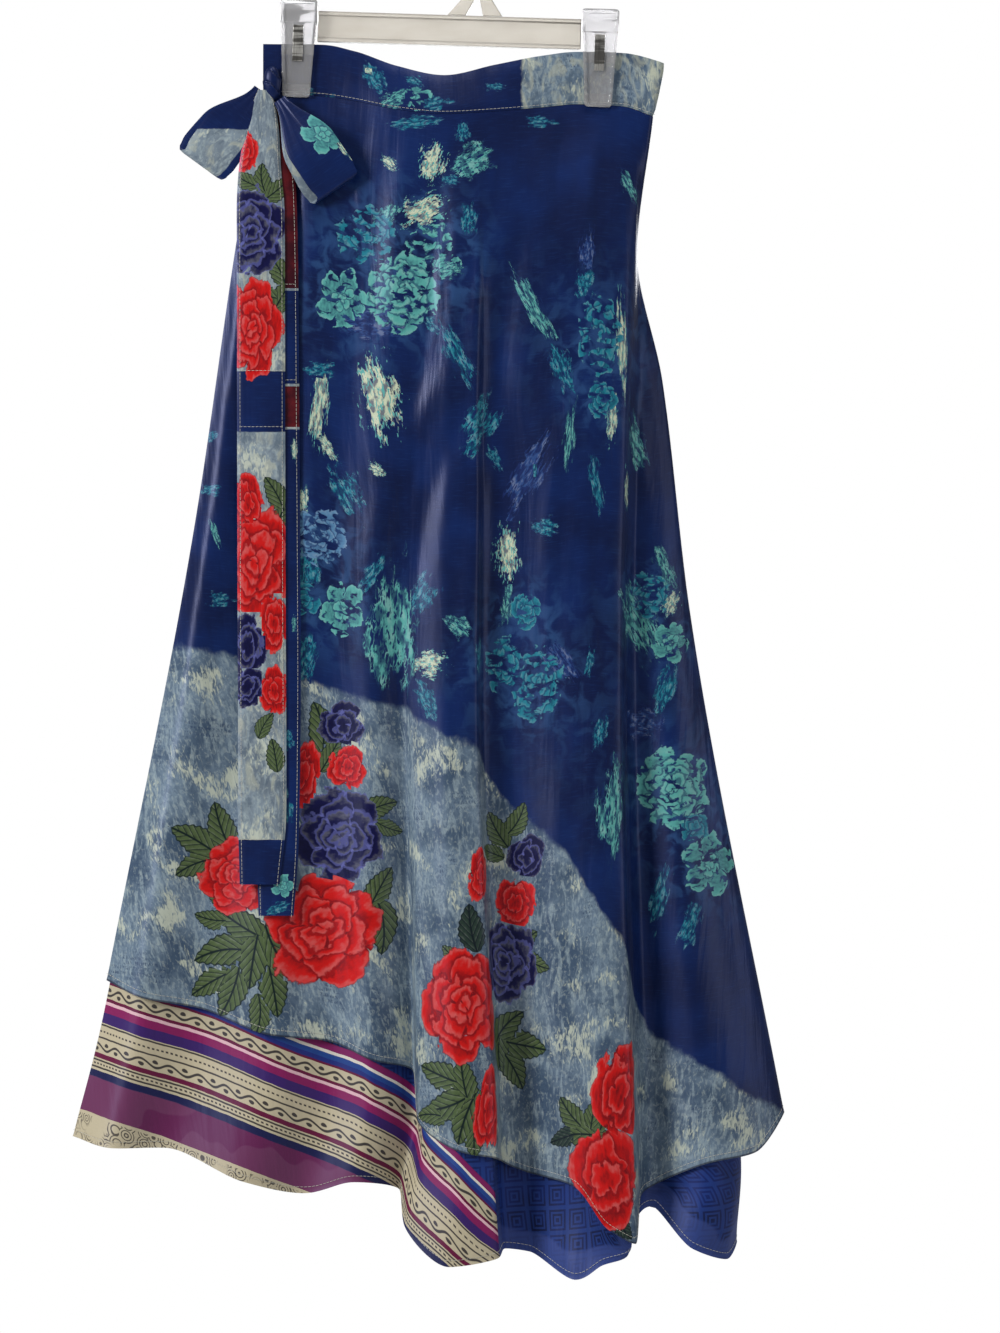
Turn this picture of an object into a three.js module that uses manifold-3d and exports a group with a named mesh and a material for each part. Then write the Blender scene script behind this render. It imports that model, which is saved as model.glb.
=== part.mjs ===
// A two-layer wrap skirt, clipped by its waistband to a moulded plastic skirt hanger.
//
// Millimetres, +Z up, -Y is the front. The origin is the inside top of the hanger's hook.
// The band is one strip that starts at a free end on the left, runs across the front, turns at the
// right, comes back behind and laps inside its own start. The outer and the under layer hang from
// that same wrapped line, so both have a free edge on the left with the far end lapped behind it.
// Each layer is a wall: a grid of points on its face, and the same points moved in by its thickness.

import * as THREE from "three";
import { mergeVertices } from "three/addons/utils/BufferGeometryUtils.js";
import Module from "manifold-3d";

const wasm = await Module();
wasm.setup();

// ---- Driving dimensions -------------------------------------------------------------------

const SEAM_GAP = 0.3; // between pieces that are sewn together or touch
const BAND_WALL = 2.4; // folded double cloth
const CLOTH_WALL = 1.1; // one layer of the skirt
const TIE_WALL = 1.6; // a flat tube of cloth
const PANEL_INSET = 0.4; // a panel's face lies this far in from the band's face
const LAYER_STEP = { waist: 1.4, low: 4.2 }; // from the outer layer's face to the under layer's
const ROWS_DOWN = 12; // steps from the waist seam to the outer hem
const ROWS_BELOW = 3; // further steps of the under layer, below the outer hem

const TIE_WIDTH = 38.5;
const TAIL_LIFT = { rear: 1.2, front: 4.2 }; // clear of the outer layer's face
const TAIL_CROWN = 0.7; // how far a tail's middle stands forward of its edges
const TAIL_ROWS = 16;
const LOOP_ROOT_WIDTH = 11;
const KNOT = { x: -144.6, z: -126, halfWidth: 5.4, halfDepth: 5, halfHeight: 14 };

const HANGER_TILT = THREE.MathUtils.degToRad(1.8); // the right end hangs lower
const HOOK = { radius: 22.4, width: 6, depth: 5, shankFoot: -47.5, tipTurn: 205 };
const NECK = { footLeft: 24, footRight: 20, head: 6, notchLeft: 9.5, notchRight: 4.5, notchHeight: 16 };
const BAR = { middle: -81.6, height: 24.4, depth: 8, web: 2.4, flange: 3.2 };
const CLIP_X = { left: -121, right: 121.5 };
const CLIP = { top: -61.2, height: 78.8, topWidth: 30, footWidth: 22, plate: 2.2, corner: 3 };
const CLIP_RIM = { width: 2.4, height: 1.6 };
const CLIP_HUB = { halfWidth: 15, foot: -79, top: -69.5 };
const GRIP = { left: 6.4, right: 4.4 }; // half the thickness of the cloth that a clip holds
const SPRING = { width: 8, thick: 1, bend: -82.5, foot: -111 };

// ---- Tables -------------------------------------------------------------------------------

// The waistband in plan, from its free end round to the lap. x and y lie on its outer face at
// the seam; lean is how far the top edge stands behind the seam, and flare how far to its right.
const BAND = [
  { name: "free end", x: -152, y: -6.4, lean: 0, flare: 0, top: -93, seam: -133 },
  { name: "left clip", x: -106, y: -6.4, lean: 0, flare: 0, top: -93.5, seam: -135 },
  { name: "left slope", x: -78, y: -10.5, lean: 3, flare: 0, top: -99, seam: -139.5 },
  { name: "left dip", x: -44, y: -18, lean: 8, flare: 0, top: -111, seam: -147 },
  { name: "front dip", x: -6, y: -21, lean: 10, flare: 0, top: -118.5, seam: -151 },
  { name: "right dip", x: 34, y: -17, lean: 8, flare: 0, top: -110, seam: -148.5 },
  { name: "right slope", x: 72, y: -9, lean: 2, flare: 0, top: -102.5, seam: -144.5 },
  { name: "right clip", x: 101, y: -4.4, lean: 0, flare: 0, top: -99, seam: -141.5 },
  { name: "shoulder", x: 136, y: -4.4, lean: 0, flare: 2, top: -100, seam: -143 },
  { name: "right front", x: 157, y: -4.4, lean: 0, flare: 7, top: -106, seam: -149.5 },
  { name: "into right turn", x: 160.8, y: -3, lean: 0, flare: 8.6, top: -107.6, seam: -150.6 },
  { name: "right turn", x: 162.2, y: 0, lean: 0, flare: 9, top: -108, seam: -151 },
  { name: "out of right turn", x: 160.8, y: 3, lean: 0, flare: 8.6, top: -107.6, seam: -150.6 },
  { name: "right back", x: 157, y: 4.4, lean: 0, flare: 7, top: -106, seam: -149.5 },
  { name: "back shoulder", x: 136, y: 4.4, lean: 0, flare: 2, top: -101, seam: -144 },
  { name: "back right clip", x: 101, y: 4.4, lean: 0, flare: 0, top: -101, seam: -143 },
  { name: "back right", x: 60, y: 8, lean: -2, flare: 0, top: -111, seam: -151 },
  { name: "back middle", x: -8, y: 12, lean: -3, flare: 0, top: -122, seam: -159 },
  { name: "back left", x: -70, y: 9.5, lean: -2, flare: 0, top: -106, seam: -147 },
  { name: "back left clip", x: -106, y: 6.4, lean: 0, flare: 0, top: -96, seam: -137 },
  { name: "left back", x: -142.6, y: 6.4, lean: 0, flare: 0, top: -95, seam: -134.5 },
  { name: "into left turn", x: -146.4, y: 5, lean: 0, flare: 0, top: -95, seam: -134.5 },
  { name: "left turn", x: -147.8, y: 2, lean: 0, flare: 0, top: -95, seam: -134.5 },
  { name: "out of left turn", x: -146.4, y: -1, lean: 0, flare: 0, top: -95, seam: -134.5 },
  { name: "lap start", x: -142.6, y: -2.3, lean: 0, flare: 0, top: -95, seam: -134.5 },
  { name: "lap end", x: -106, y: -2.3, lean: 0, flare: 0, top: -95, seam: -135 },
];
const BAND_SPLIT = "right turn"; // the front piece of the band ends here

// The folds, in order round the wrap, each with the points that the outer layer's face passes
// through. band is the distance along the band's seam, from its free end, that the fold hangs
// from. high and mid are plan points [x, y] at those shares of the way down; hem, and the under
// layer's own hem in under, are [x, y, z]. steps is the columns from this fold to the next. The
// folds at the right hip, where the skirt springs out below a close waist, have one more point, hip.
const LEVEL = { high: 0.14, hip: 0.27, mid: 0.5 };
const FOLDS = [
  { name: "free edge", band: 0, high: [-170, -11], mid: [-208, -14], hem: [-277, -15, -845], under: [-304, -15, -970], steps: 3 },
  { name: "left crest", band: 18, high: [-156, -16], mid: [-193, -22], hem: [-246, -38, -858], under: [-270, -44, -977], steps: 3 },
  { name: "left dip", band: 34, high: [-136, -15], mid: [-166, -21], hem: [-201, -27, -867], under: [-228, -30, -978], steps: 3 },
  { name: "tie crest", band: 58, high: [-108, -20], mid: [-130, -27], hem: [-146, -42, -887], under: [-166, -50, -1003], steps: 3 },
  { name: "soft dip", band: 91, high: [-76, -20], mid: [-97, -26], hem: [-98, -30, -893], under: [-118, -32, -1014], steps: 3 },
  { name: "near crest", band: 123, high: [-40, -26], mid: [-62, -34], hem: [-64, -42, -907], under: [-78, -44, -1004], steps: 2 },
  { name: "valley a", band: 143, high: [-18, -26], mid: [-42, -30], hem: [-31, -27, -917], under: [-42, -23, -1012], steps: 2 },
  { name: "flank a", band: 153, high: [-7, -29], mid: [-30, -33], hem: [-27, -47, -954], under: [-38, -50, -1036], steps: 3 },
  { name: "crest a", band: 163, high: [4, -31], mid: [-4, -42], hem: [8, -68, -978], under: [-2, -74, -1068], steps: 3 },
  { name: "ridge a", band: 175, high: [19, -31], mid: [18, -40], hem: [36, -60, -984], under: [37, -64, -1062], steps: 3 },
  { name: "behind a", band: 182, high: [26, -28.5], mid: [25, -29], hem: [41, -34, -989], under: [42, -34, -1058], steps: 2 },
  { name: "dip b", band: 192, high: [36, -27], mid: [42, -25], hem: [58, -28, -997], under: [62, -28, -1061], steps: 3 },
  { name: "crest b", band: 220, high: [68, -28], mid: [82, -34], hem: [96, -50, -1006], under: [98, -58, -1080], steps: 3 },
  { name: "slope b", band: 252, high: [102, -27], mid: [112, -38], hem: [124, -58, -1040], under: [120, -62, -1068], steps: 3 },
  { name: "ridge b", band: 287, high: [141, -19], mid: [134, -33], hem: [146, -54, -1052], under: [139, -54, -1062], steps: 3 },
  { name: "behind b", band: 305, high: [147, -12], mid: [141, -18], hem: [151, -31, -1016], under: [147, -31, -1034], steps: 2 },
  { name: "right dip", band: 311, high: [148, -7], mid: [149, -10], hem: [164, -18, -1008], under: [160, -18, -1026], steps: 3 },
  { name: "right crest", band: 319, high: [148.5, -2.5], mid: [166, -12], hem: [204, -36, -990], under: [192, -36, -1058], steps: 3 },
  { name: "right slope", band: 328, high: [149, 2], hip: [163, 0], mid: [184, -6], hem: [243, -24, -982], under: [220, -20, -1068], steps: 3 },
  { name: "side edge", band: 337, high: [148.5, 7], hip: [169.5, 6], mid: [191.5, 4], hem: [267, 0, -952], under: [229, 2, -1056], steps: 3 },
  { name: "side back", band: 347, high: [143, 11], hip: [163.5, 12.5], mid: [184, 13], hem: [258, 15, -958], under: [222, 15, -1055], steps: 3 },
  { name: "back right", band: 368, high: [128, 13], mid: [168, 15], hem: [234, 20, -974], under: [204, 20, -1046], steps: 3 },
  { name: "back crest right", band: 414, high: [84, 17], mid: [110, 20], hem: [152, 38, -988], under: [140, 42, -1030], steps: 4 },
  { name: "back dip right", band: 464, high: [36, 17], mid: [44, 19], hem: [62, 26, -972], under: [60, 26, -1036], steps: 4 },
  { name: "back crest left", band: 514, high: [-20, 18], mid: [-34, 21], hem: [-44, 40, -944], under: [-50, 45, -1004], steps: 4 },
  { name: "back dip left", band: 562, high: [-74, 16], mid: [-110, 18], hem: [-140, 26, -904], under: [-160, 26, -1000], steps: 4 },
  { name: "back left", band: 606, high: [-130, 13], mid: [-180, 16], hem: [-226, 25, -869], under: [-252, 28, -972], steps: 3 },
  { name: "into left turn", band: 626, high: [-157, 11], mid: [-198, 13], hem: [-256, 16, -853], under: [-281, 18, -965], steps: 3 },
  { name: "left turn", band: 634, high: [-164, 4], mid: [-203, 5], hem: [-262, 7, -849], under: [-287, 8, -962], steps: 3 },
  { name: "lap start", band: 645, high: [-156, -4], mid: [-194, -5], hem: [-250, -6, -855], under: [-273, -7, -967], steps: 3 },
  { name: "lap end", band: 672, high: [-124, -5], mid: [-150, -8], hem: [-196, -9, -867], under: [-214, -10, -978], steps: 0 },
];
const SIDE_SPLIT = "side edge"; // front and back panels of each layer meet here

// Round the right side the under layer hangs straighter than the outer one. At the outer hem it
// has already come in by these shares of the way, across, from the outer hem to its own.
const DRAWN_IN = {
  "right crest": 0.2,
  "right slope": 0.85,
  "side edge": 0.92,
  "side back": 0.92,
  "back right": 0.8,
  "back crest right": 0.3,
};
const DRAWN_FROM = 0.45; // the share of the way down from which it comes in

// A tail of the tie, from the knot down: centre x, width and height of each station.
const TAILS = {
  front: [
    { x: -148.2, width: 7, z: -139 },
    { x: -147.5, width: 17, z: -158 },
    { x: -150.5, width: 34, z: -190 },
    { x: -153, width: TIE_WIDTH, z: -240 },
    { x: -152, width: TIE_WIDTH, z: -520 },
    { x: -151, width: TIE_WIDTH, z: -700 },
    { x: -153, width: 32, z: -767 },
  ],
  rear: [
    { x: -146, width: 8, z: -140.4 },
    { x: -144, width: 24, z: -170 },
    { x: -143, width: 36, z: -210 },
    { x: -142, width: TIE_WIDTH, z: -300 },
    { x: -140, width: TIE_WIDTH, z: -560 },
    { x: -139, width: 34, z: -730 },
    { x: -140, width: 28, z: -792 },
  ],
};

// The bow's loops. root is where the strip leaves the knot, way the direction it hangs in
// (degrees; 0 is right and -90 down), slip how far its back ply lies to one side of the front one.
const LOOPS = {
  left: { root: [-154, -130.6], y: -12.4, way: -126, length: 74, endWidth: 43, slip: -6, bulge: 5, ply: 3.6 },
  right: { root: [-138.2, -138.8], y: -15.6, way: -56, length: 83, endWidth: 41, slip: -7, bulge: 14, ply: 3.4 },
};

// ---- Curves and walls ---------------------------------------------------------------------

const mix = (a, b, u) => a + (b - a) * u;
const ease = (u) => u * u * (3 - 2 * u);
const rowOf = (table, name) => table.findIndex((row) => row.name === name);

/** The slope at a knot between two stretches: zero where the values turn, so none is overshot. */
function slopeBetween(before, after) {
  if (before === null) return after;
  if (after === null) return before;
  return before * after <= 0 ? 0 : (2 * before * after) / (before + after);
}

/** A smooth line through knots (arrays of numbers) that lie at the given places, read at t. */
function along(knots, t, places = knots.map((_, k) => k)) {
  const last = knots.length - 1;
  let k = 0;
  while (k < last - 1 && places[k + 1] <= t) k++;
  const span = places[k + 1] - places[k];
  const u = (t - places[k]) / span;
  return knots[k].map((start, i) => {
    const end = knots[k + 1][i];
    const slope = (n) =>
      n < 0 || n >= last ? null : (knots[n + 1][i] - knots[n][i]) / (places[n + 1] - places[n]);
    const leaving = slopeBetween(slope(k - 1), slope(k)) * span;
    const arriving = slopeBetween(slope(k), slope(k + 1)) * span;
    return mix(start, end, ease(u)) + leaving * u * (1 - u) ** 2 - arriving * u * u * (1 - u);
  });
}

/** Level unit normals of a grid of points, pointing to the inside of the wrap. */
function inwardNormals(grid) {
  const rows = grid.length;
  const columns = grid[0].length;
  const at = (j, i) =>
    grid[Math.min(Math.max(j, 0), rows - 1)][Math.min(Math.max(i, 0), columns - 1)];
  return grid.map((row, j) =>
    row.map((_, i) => {
      const round = at(j, i + 1).clone().sub(at(j, i - 1));
      const down = at(j + 1, i).clone().sub(at(j - 1, i));
      return round.cross(down).setZ(0).normalize();
    }),
  );
}

const moved = (grid, normals, distance) =>
  grid.map((row, j) => row.map((p, i) => p.clone().addScaledVector(normals[j][i], distance(j, i))));

function part(name, geometry, material) {
  const mesh = new THREE.Mesh(geometry, material);
  mesh.name = name;
  return mesh;
}

/** A closed wall between two grids of points: face outside, back inside. */
function wall(name, face, back, material) {
  const rows = face.length;
  const columns = face[0].length;
  const f = (j, i) => j * columns + i;
  const b = (j, i) => rows * columns + f(j, i);
  const faces = [];
  const quad = (p, q, r, s) => faces.push(p, q, r, p, r, s);
  for (let j = 0; j + 1 < rows; j++) {
    for (let i = 0; i + 1 < columns; i++) {
      quad(f(j, i), f(j + 1, i), f(j + 1, i + 1), f(j, i + 1));
      quad(b(j, i), b(j, i + 1), b(j + 1, i + 1), b(j + 1, i));
    }
    quad(f(j, 0), b(j, 0), b(j + 1, 0), f(j + 1, 0));
    quad(f(j, columns - 1), f(j + 1, columns - 1), b(j + 1, columns - 1), b(j, columns - 1));
  }
  for (let i = 0; i + 1 < columns; i++) {
    quad(f(0, i), f(0, i + 1), b(0, i + 1), b(0, i));
    quad(f(rows - 1, i), b(rows - 1, i), b(rows - 1, i + 1), f(rows - 1, i + 1));
  }
  const points = [...face.flat(), ...back.flat()];
  const geometry = new THREE.BufferGeometry().setFromPoints(points).setIndex(faces);
  geometry.computeVertexNormals();
  return part(name, geometry, material);
}

/** A wall from a stretch of a grid, shortened at either end that a seam gap is asked for. */
function stretch(name, grid, inward, [first, last], [gapStart, gapEnd], thickness, material) {
  const crop = (g) => g.map((row) => row.slice(first, last + 1).map((p) => p.clone()));
  const face = crop(grid);
  for (const row of face) {
    const end = row.length - 1;
    const pulled = (i, neighbour, gap) => row[neighbour].clone().sub(row[i]).setLength(gap).add(row[i]);
    if (gapStart) row[0] = pulled(0, 1, gapStart);
    if (gapEnd) row[end] = pulled(end, end - 1, gapEnd);
  }
  return wall(name, face, moved(face, crop(inward), () => thickness), material);
}

// ---- Booleans, for the hanger -------------------------------------------------------------

function solidFrom(geometry) {
  const bare = geometry.index ? geometry.toNonIndexed() : geometry.clone();
  bare.deleteAttribute("normal");
  bare.deleteAttribute("uv");
  const merged = mergeVertices(bare, 1e-4);
  return new wasm.Manifold(
    new wasm.Mesh({
      numProp: 3,
      vertProperties: merged.attributes.position.array,
      triVerts: new Uint32Array(merged.index.array),
    }),
  );
}

function geometryFrom(solid) {
  const mesh = solid.getMesh();
  const geometry = new THREE.BufferGeometry();
  geometry.setAttribute("position", new THREE.BufferAttribute(mesh.vertProperties, 3));
  geometry.setIndex(new THREE.BufferAttribute(mesh.triVerts, 1));
  geometry.computeVertexNormals();
  return geometry;
}

const block = (x0, x1, y0, y1, z0, z1) =>
  new THREE.BoxGeometry(x1 - x0, y1 - y0, z1 - z0).translate((x0 + x1) / 2, (y0 + y1) / 2, (z0 + z1) / 2);

/** A plate from an outline in X and Z, from depth y0 to y1. */
function plate(shape, y0, y1, curveSegments = 6) {
  const geometry = new THREE.ExtrudeGeometry(shape, { depth: y1 - y0, bevelEnabled: false, curveSegments });
  return geometry.rotateX(Math.PI / 2).translate(0, y1, 0);
}

// ---- Materials ----------------------------------------------------------------------------

const cloth = (color, roughness) =>
  new THREE.MeshStandardMaterial({ color, roughness, metalness: 0, side: THREE.DoubleSide });
const MATERIAL = {
  outer: cloth(0x1b2458, 0.45),
  under: cloth(0x2740a0, 0.55),
  waistband: cloth(0x232a5c, 0.5),
  tie: cloth(0x5c6c7c, 0.5),
  plastic: new THREE.MeshStandardMaterial({ color: 0xd8d4cc, roughness: 0.25, transparent: true, opacity: 0.6 }),
  steel: new THREE.MeshStandardMaterial({ color: 0xa8a49c, roughness: 0.3, metalness: 1 }),
};

// ---- The waistband ------------------------------------------------------------------------

const BAND_KNOTS = BAND.map((row) => [row.x, row.y, row.lean, row.flare, row.top, row.seam]);
const BAND_FINE = 12; // points between two stations, for measuring along the seam
const BAND_STRIDE = 4; // of those points, every fourth is a column of the band's wall

/** The band's line as fine points, each with the distance along the seam from the free end. */
function measureBand() {
  const points = [];
  let distance = 0;
  for (let k = 0; k <= (BAND.length - 1) * BAND_FINE; k++) {
    const [x, y, lean, flare, top, seam] = along(BAND_KNOTS, k / BAND_FINE);
    const last = points.at(-1);
    if (last) distance += Math.hypot(x - last.x, y - last.y);
    points.push({ x, y, lean, flare, top, seam, distance });
  }
  return points;
}
const BAND_LINE = measureBand();

/** The point where cloth hangs from the band, at a distance along the seam: [x, y, z]. */
function hangsFrom(distance) {
  const found = BAND_LINE.findIndex((p) => p.distance > distance);
  const k = found < 1 ? BAND_LINE.length - 2 : found - 1;
  const a = BAND_LINE[k];
  const b = BAND_LINE[k + 1];
  const u = (distance - a.distance) / (b.distance - a.distance);
  const inset = PANEL_INSET / Math.hypot(b.x - a.x, b.y - a.y);
  const x = mix(a.x, b.x, u) - (b.y - a.y) * inset;
  const y = mix(a.y, b.y, u) + (b.x - a.x) * inset;
  return [x, y, mix(a.seam, b.seam, u)];
}

/** The whole band's face, from its top edge down to the seam. */
function bandGrid() {
  const columns = BAND_LINE.filter((_, k) => k % BAND_STRIDE === 0).map((p) => {
    const topEdge = new THREE.Vector3(p.x + p.flare, p.y + p.lean, p.top);
    const seamEdge = new THREE.Vector3(p.x, p.y, p.seam + SEAM_GAP);
    return [topEdge, topEdge.clone().lerp(seamEdge, 0.5), seamEdge];
  });
  return [0, 1, 2].map((j) => columns.map((column) => column[j]));
}
const BAND_GRID = bandGrid();
const BAND_INWARD = inwardNormals(BAND_GRID);

// ---- The skirt's two layers ---------------------------------------------------------------

const FOLD_BANDS = FOLDS.map((row) => [row.band]);
const FOLD_TOPS = FOLDS.map((row) => hangsFrom(row.band));
const LEVEL_PLACES = [0, LEVEL.high, LEVEL.mid, 1];
const HIP_PLACES = [0, LEVEL.high, LEVEL.hip, LEVEL.mid, 1];

/** The outer layer's face at fold position s (0 at the first fold) and share u of the way down. */
function outerPoint(s, u) {
  const knots = FOLDS.map((row, k) => {
    const [topX, topY, topZ] = FOLD_TOPS[k];
    const below = row.hip ? [row.hip, row.mid] : [row.mid];
    const plan = [[topX, topY], row.high, ...below, row.hem.slice(0, 2)];
    const [x, y] = along(plan, u, row.hip ? HIP_PLACES : LEVEL_PLACES);
    return [x, y, mix(topZ, row.hem[2], u)];
  });
  const free = along(knots, s);
  if (u >= LEVEL.high) return free;
  // Near the waist the cloth follows the band itself, not the line through the folds.
  const held = hangsFrom(along(FOLD_BANDS, s)[0]);
  const start = along(FOLD_TOPS, s);
  return free.map((v, k) => v + (held[k] - start[k]) * (1 - u / LEVEL.high) ** 2);
}

/** Fold positions of all the columns, round the wrap. */
function foldColumns() {
  const list = [0];
  FOLDS.forEach((row, k) => {
    for (let n = 1; n <= row.steps; n++) list.push(k + n / row.steps);
  });
  return list;
}

const COLUMNS = foldColumns();
const OUTER_GRID = Array.from({ length: ROWS_DOWN + 1 }, (_, j) =>
  COLUMNS.map((s) => new THREE.Vector3(...outerPoint(s, j / ROWS_DOWN))),
);
const OUTER_INWARD = inwardNormals(OUTER_GRID);
const layerStep = (j) => mix(LAYER_STEP.waist, LAYER_STEP.low, ease(j / ROWS_DOWN));

/** The under layer: the outer layer's points moved in, then on down to its own hem. */
function underGrid() {
  const drawn = FOLDS.map((row) => [(DRAWN_IN[row.name] ?? 0) * (row.under[0] - row.hem[0])]);
  const upper = moved(OUTER_GRID, OUTER_INWARD, layerStep).map((row, j) => {
    const share = ease(THREE.MathUtils.clamp((j / ROWS_DOWN - DRAWN_FROM) / (1 - DRAWN_FROM), 0, 1));
    return row.map((p, i) => p.setX(p.x + along(drawn, COLUMNS[i])[0] * share));
  });
  const hems = FOLDS.map((row) => row.under);
  const last = upper[ROWS_DOWN];
  const before = upper[ROWS_DOWN - 1];
  const lower = Array.from({ length: ROWS_BELOW }, (_, n) => {
    const u = (n + 1) / ROWS_BELOW;
    return COLUMNS.map((s, i) => {
      const hem = new THREE.Vector3(...along(hems, s));
      // Leaves the outer hem in the direction that it arrives in, and bends to its own hem.
      const onward = last[i].clone().sub(before[i]).setLength(last[i].distanceTo(hem) * u).add(last[i]);
      return onward.lerp(last[i].clone().lerp(hem, u), ease(u));
    });
  });
  return [...upper, ...lower];
}
const UNDER_GRID = underGrid();
const UNDER_INWARD = inwardNormals(UNDER_GRID);

// ---- The tie ------------------------------------------------------------------------------

/** The outer layer's face at height z, as a line of points in plan over its left front. */
function faceLine(z) {
  const end = COLUMNS.indexOf(rowOf(FOLDS, "near crest"));
  return COLUMNS.slice(0, end + 1).map((_, i) => {
    const top = OUTER_GRID[0][i].z;
    const share = THREE.MathUtils.clamp((z - top) / (OUTER_GRID[ROWS_DOWN][i].z - top), 0, 1) * ROWS_DOWN;
    const j = Math.min(Math.floor(share), ROWS_DOWN - 1);
    return OUTER_GRID[j][i].clone().lerp(OUTER_GRID[j + 1][i], share - j);
  });
}

/** The foremost y of the outer layer's face between x0 and x1, at height z. */
function foremost(x0, x1, z) {
  const line = faceLine(z);
  const inside = line.filter((p) => p.x >= x0 && p.x <= x1).map((p) => p.y);
  return Math.min(...inside);
}

/** A tail of the tie: a flat strip that hangs from the knot and lies on the skirt. */
function tail(name, stations, lift) {
  const ACROSS = 3;
  const NEAR = 30; // heights within this of a row still touch the strip's straight stretch
  const [left, right] = [-176, -118];
  const knots = stations.map((row) => [row.x, row.width, row.z]);
  const face = Array.from({ length: TAIL_ROWS + 1 }, (_, j) => {
    const share = j / TAIL_ROWS;
    const [x, width, z] = along(knots, share * (stations.length - 1));
    const skin = Math.min(...[-NEAR, 0, NEAR].map((dz) => foremost(left, right, z + dz)));
    const y = skin - lift;
    return Array.from({ length: ACROSS + 1 }, (_, i) => {
      const across = (2 * i) / ACROSS - 1;
      const crown = TAIL_CROWN * (1 - across * across);
      return new THREE.Vector3(x + (across * width) / 2, y - crown - TIE_WALL, z);
    });
  });
  const back = face.map((row) => row.map((p) => p.clone().setY(p.y + TIE_WALL)));
  return wall(name, face, back, MATERIAL.tie);
}

/** A bow loop: a strip that leaves the knot, turns back at its end and returns behind itself. */
function loop(name, { root, way, length, endWidth, slip, y, bulge, ply }) {
  const PLY_STEPS = 7;
  const TURN_STEPS = 5;
  const ACROSS = 3;
  const angle = THREE.MathUtils.degToRad(way);
  const out = new THREE.Vector3(Math.cos(angle), 0, Math.sin(angle));
  const side = new THREE.Vector3(-out.z, 0, out.x);
  const apart = (u) => mix(TIE_WALL + SEAM_GAP, ply, ease(Math.min(1, u * 1.6)));
  const centre = (u) => y - bulge * Math.sin(Math.PI * 0.75 * u);
  const line = [];
  for (let n = 0; n <= PLY_STEPS; n++) {
    const u = n / PLY_STEPS;
    line.push({ u, out: u * length, y: centre(u) - apart(u), slip: 0, facing: [0, -1] });
  }
  for (let n = 1; n < TURN_STEPS; n++) {
    const turn = (Math.PI * n) / TURN_STEPS;
    const facing = [Math.sin(turn), -Math.cos(turn)];
    line.push({ u: 1, out: length + ply * facing[0], y: centre(1) + ply * facing[1], slip: slip * (n / TURN_STEPS), facing });
  }
  for (let n = PLY_STEPS; n >= 0; n--) {
    const u = n / PLY_STEPS;
    line.push({ u, out: u * length, y: centre(u) + apart(u), slip: slip * ease(u), facing: [0, 1] });
  }
  // Each row of points crosses the strip; facing is the way that its outer face looks.
  const rows = (depth) =>
    line.map((p) => {
      const width = mix(LOOP_ROOT_WIDTH, endWidth, ease(Math.min(1, p.u * 1.25)));
      return Array.from({ length: ACROSS + 1 }, (_, i) => {
        const across = ((2 * i) / ACROSS - 1) * (width / 2) + p.slip;
        const point = new THREE.Vector3(root[0], p.y - depth * p.facing[1], root[1]);
        return point.addScaledVector(out, p.out - depth * p.facing[0]).addScaledVector(side, across);
      });
    });
  return wall(name, rows(0), rows(TIE_WALL), MATERIAL.tie);
}

/** The knot: a wrapped lump with three soft swells round it. */
function knot() {
  const { x, z, halfWidth, halfDepth, halfHeight } = KNOT;
  const SWELL = 0.07;
  const geometry = new THREE.SphereGeometry(1, 18, 12);
  const position = geometry.attributes.position;
  const p = new THREE.Vector3();
  for (let k = 0; k < position.count; k++) {
    p.fromBufferAttribute(position, k);
    const wrap = 1 + SWELL * Math.cos(3 * Math.atan2(p.z, p.x) + 5 * p.y);
    position.setXYZ(k, p.x * halfWidth * wrap, -p.z * halfDepth * wrap, p.y * halfHeight);
  }
  geometry.translate(x, BAND[0].y - SEAM_GAP - halfDepth * (1 + SWELL), z);
  return part("tie_knot", geometry, MATERIAL.tie);
}

// ---- The hanger ---------------------------------------------------------------------------

/** The hook: a flat moulded J whose inside top is the origin. */
function hook() {
  const { radius, width, depth, shankFoot, tipTurn } = HOOK;
  const inner = radius - width / 2;
  const outer = radius + width / 2;
  const end = THREE.MathUtils.degToRad(tipTurn);
  const tip = [radius * Math.cos(end), radius * Math.sin(end) - inner];
  const shape = new THREE.Shape();
  shape.moveTo(inner, shankFoot);
  shape.lineTo(outer, shankFoot);
  shape.lineTo(outer, -inner);
  shape.absarc(0, -inner, outer, 0, end, false);
  shape.absarc(tip[0], tip[1], width / 2, end, end + Math.PI, false);
  shape.absarc(0, -inner, inner, end, 0, true);
  shape.closePath();
  return part("hanger_hook", plate(shape, -depth / 2, depth / 2, 14), MATERIAL.plastic);
}

/** The neck: two arms that lean together from the bar up to the hook's shank. */
function neck() {
  const { footLeft, footRight, head, notchLeft, notchRight, notchHeight } = NECK;
  const foot = BAR.middle + BAR.height / 2 + SEAM_GAP;
  const top = HOOK.shankFoot - SEAM_GAP;
  const outline = [
    [-footLeft, foot], [-notchLeft, foot], [-1, foot + notchHeight], [1, foot + notchHeight],
    [notchRight, foot], [footRight, foot], [head, top], [-head, top],
  ];
  const shape = new THREE.Shape(outline.map(([x, z]) => new THREE.Vector2(HOOK.radius + x, z)));
  return part("hanger_neck", plate(shape, -HOOK.depth / 2, HOOK.depth / 2), MATERIAL.plastic);
}

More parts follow.
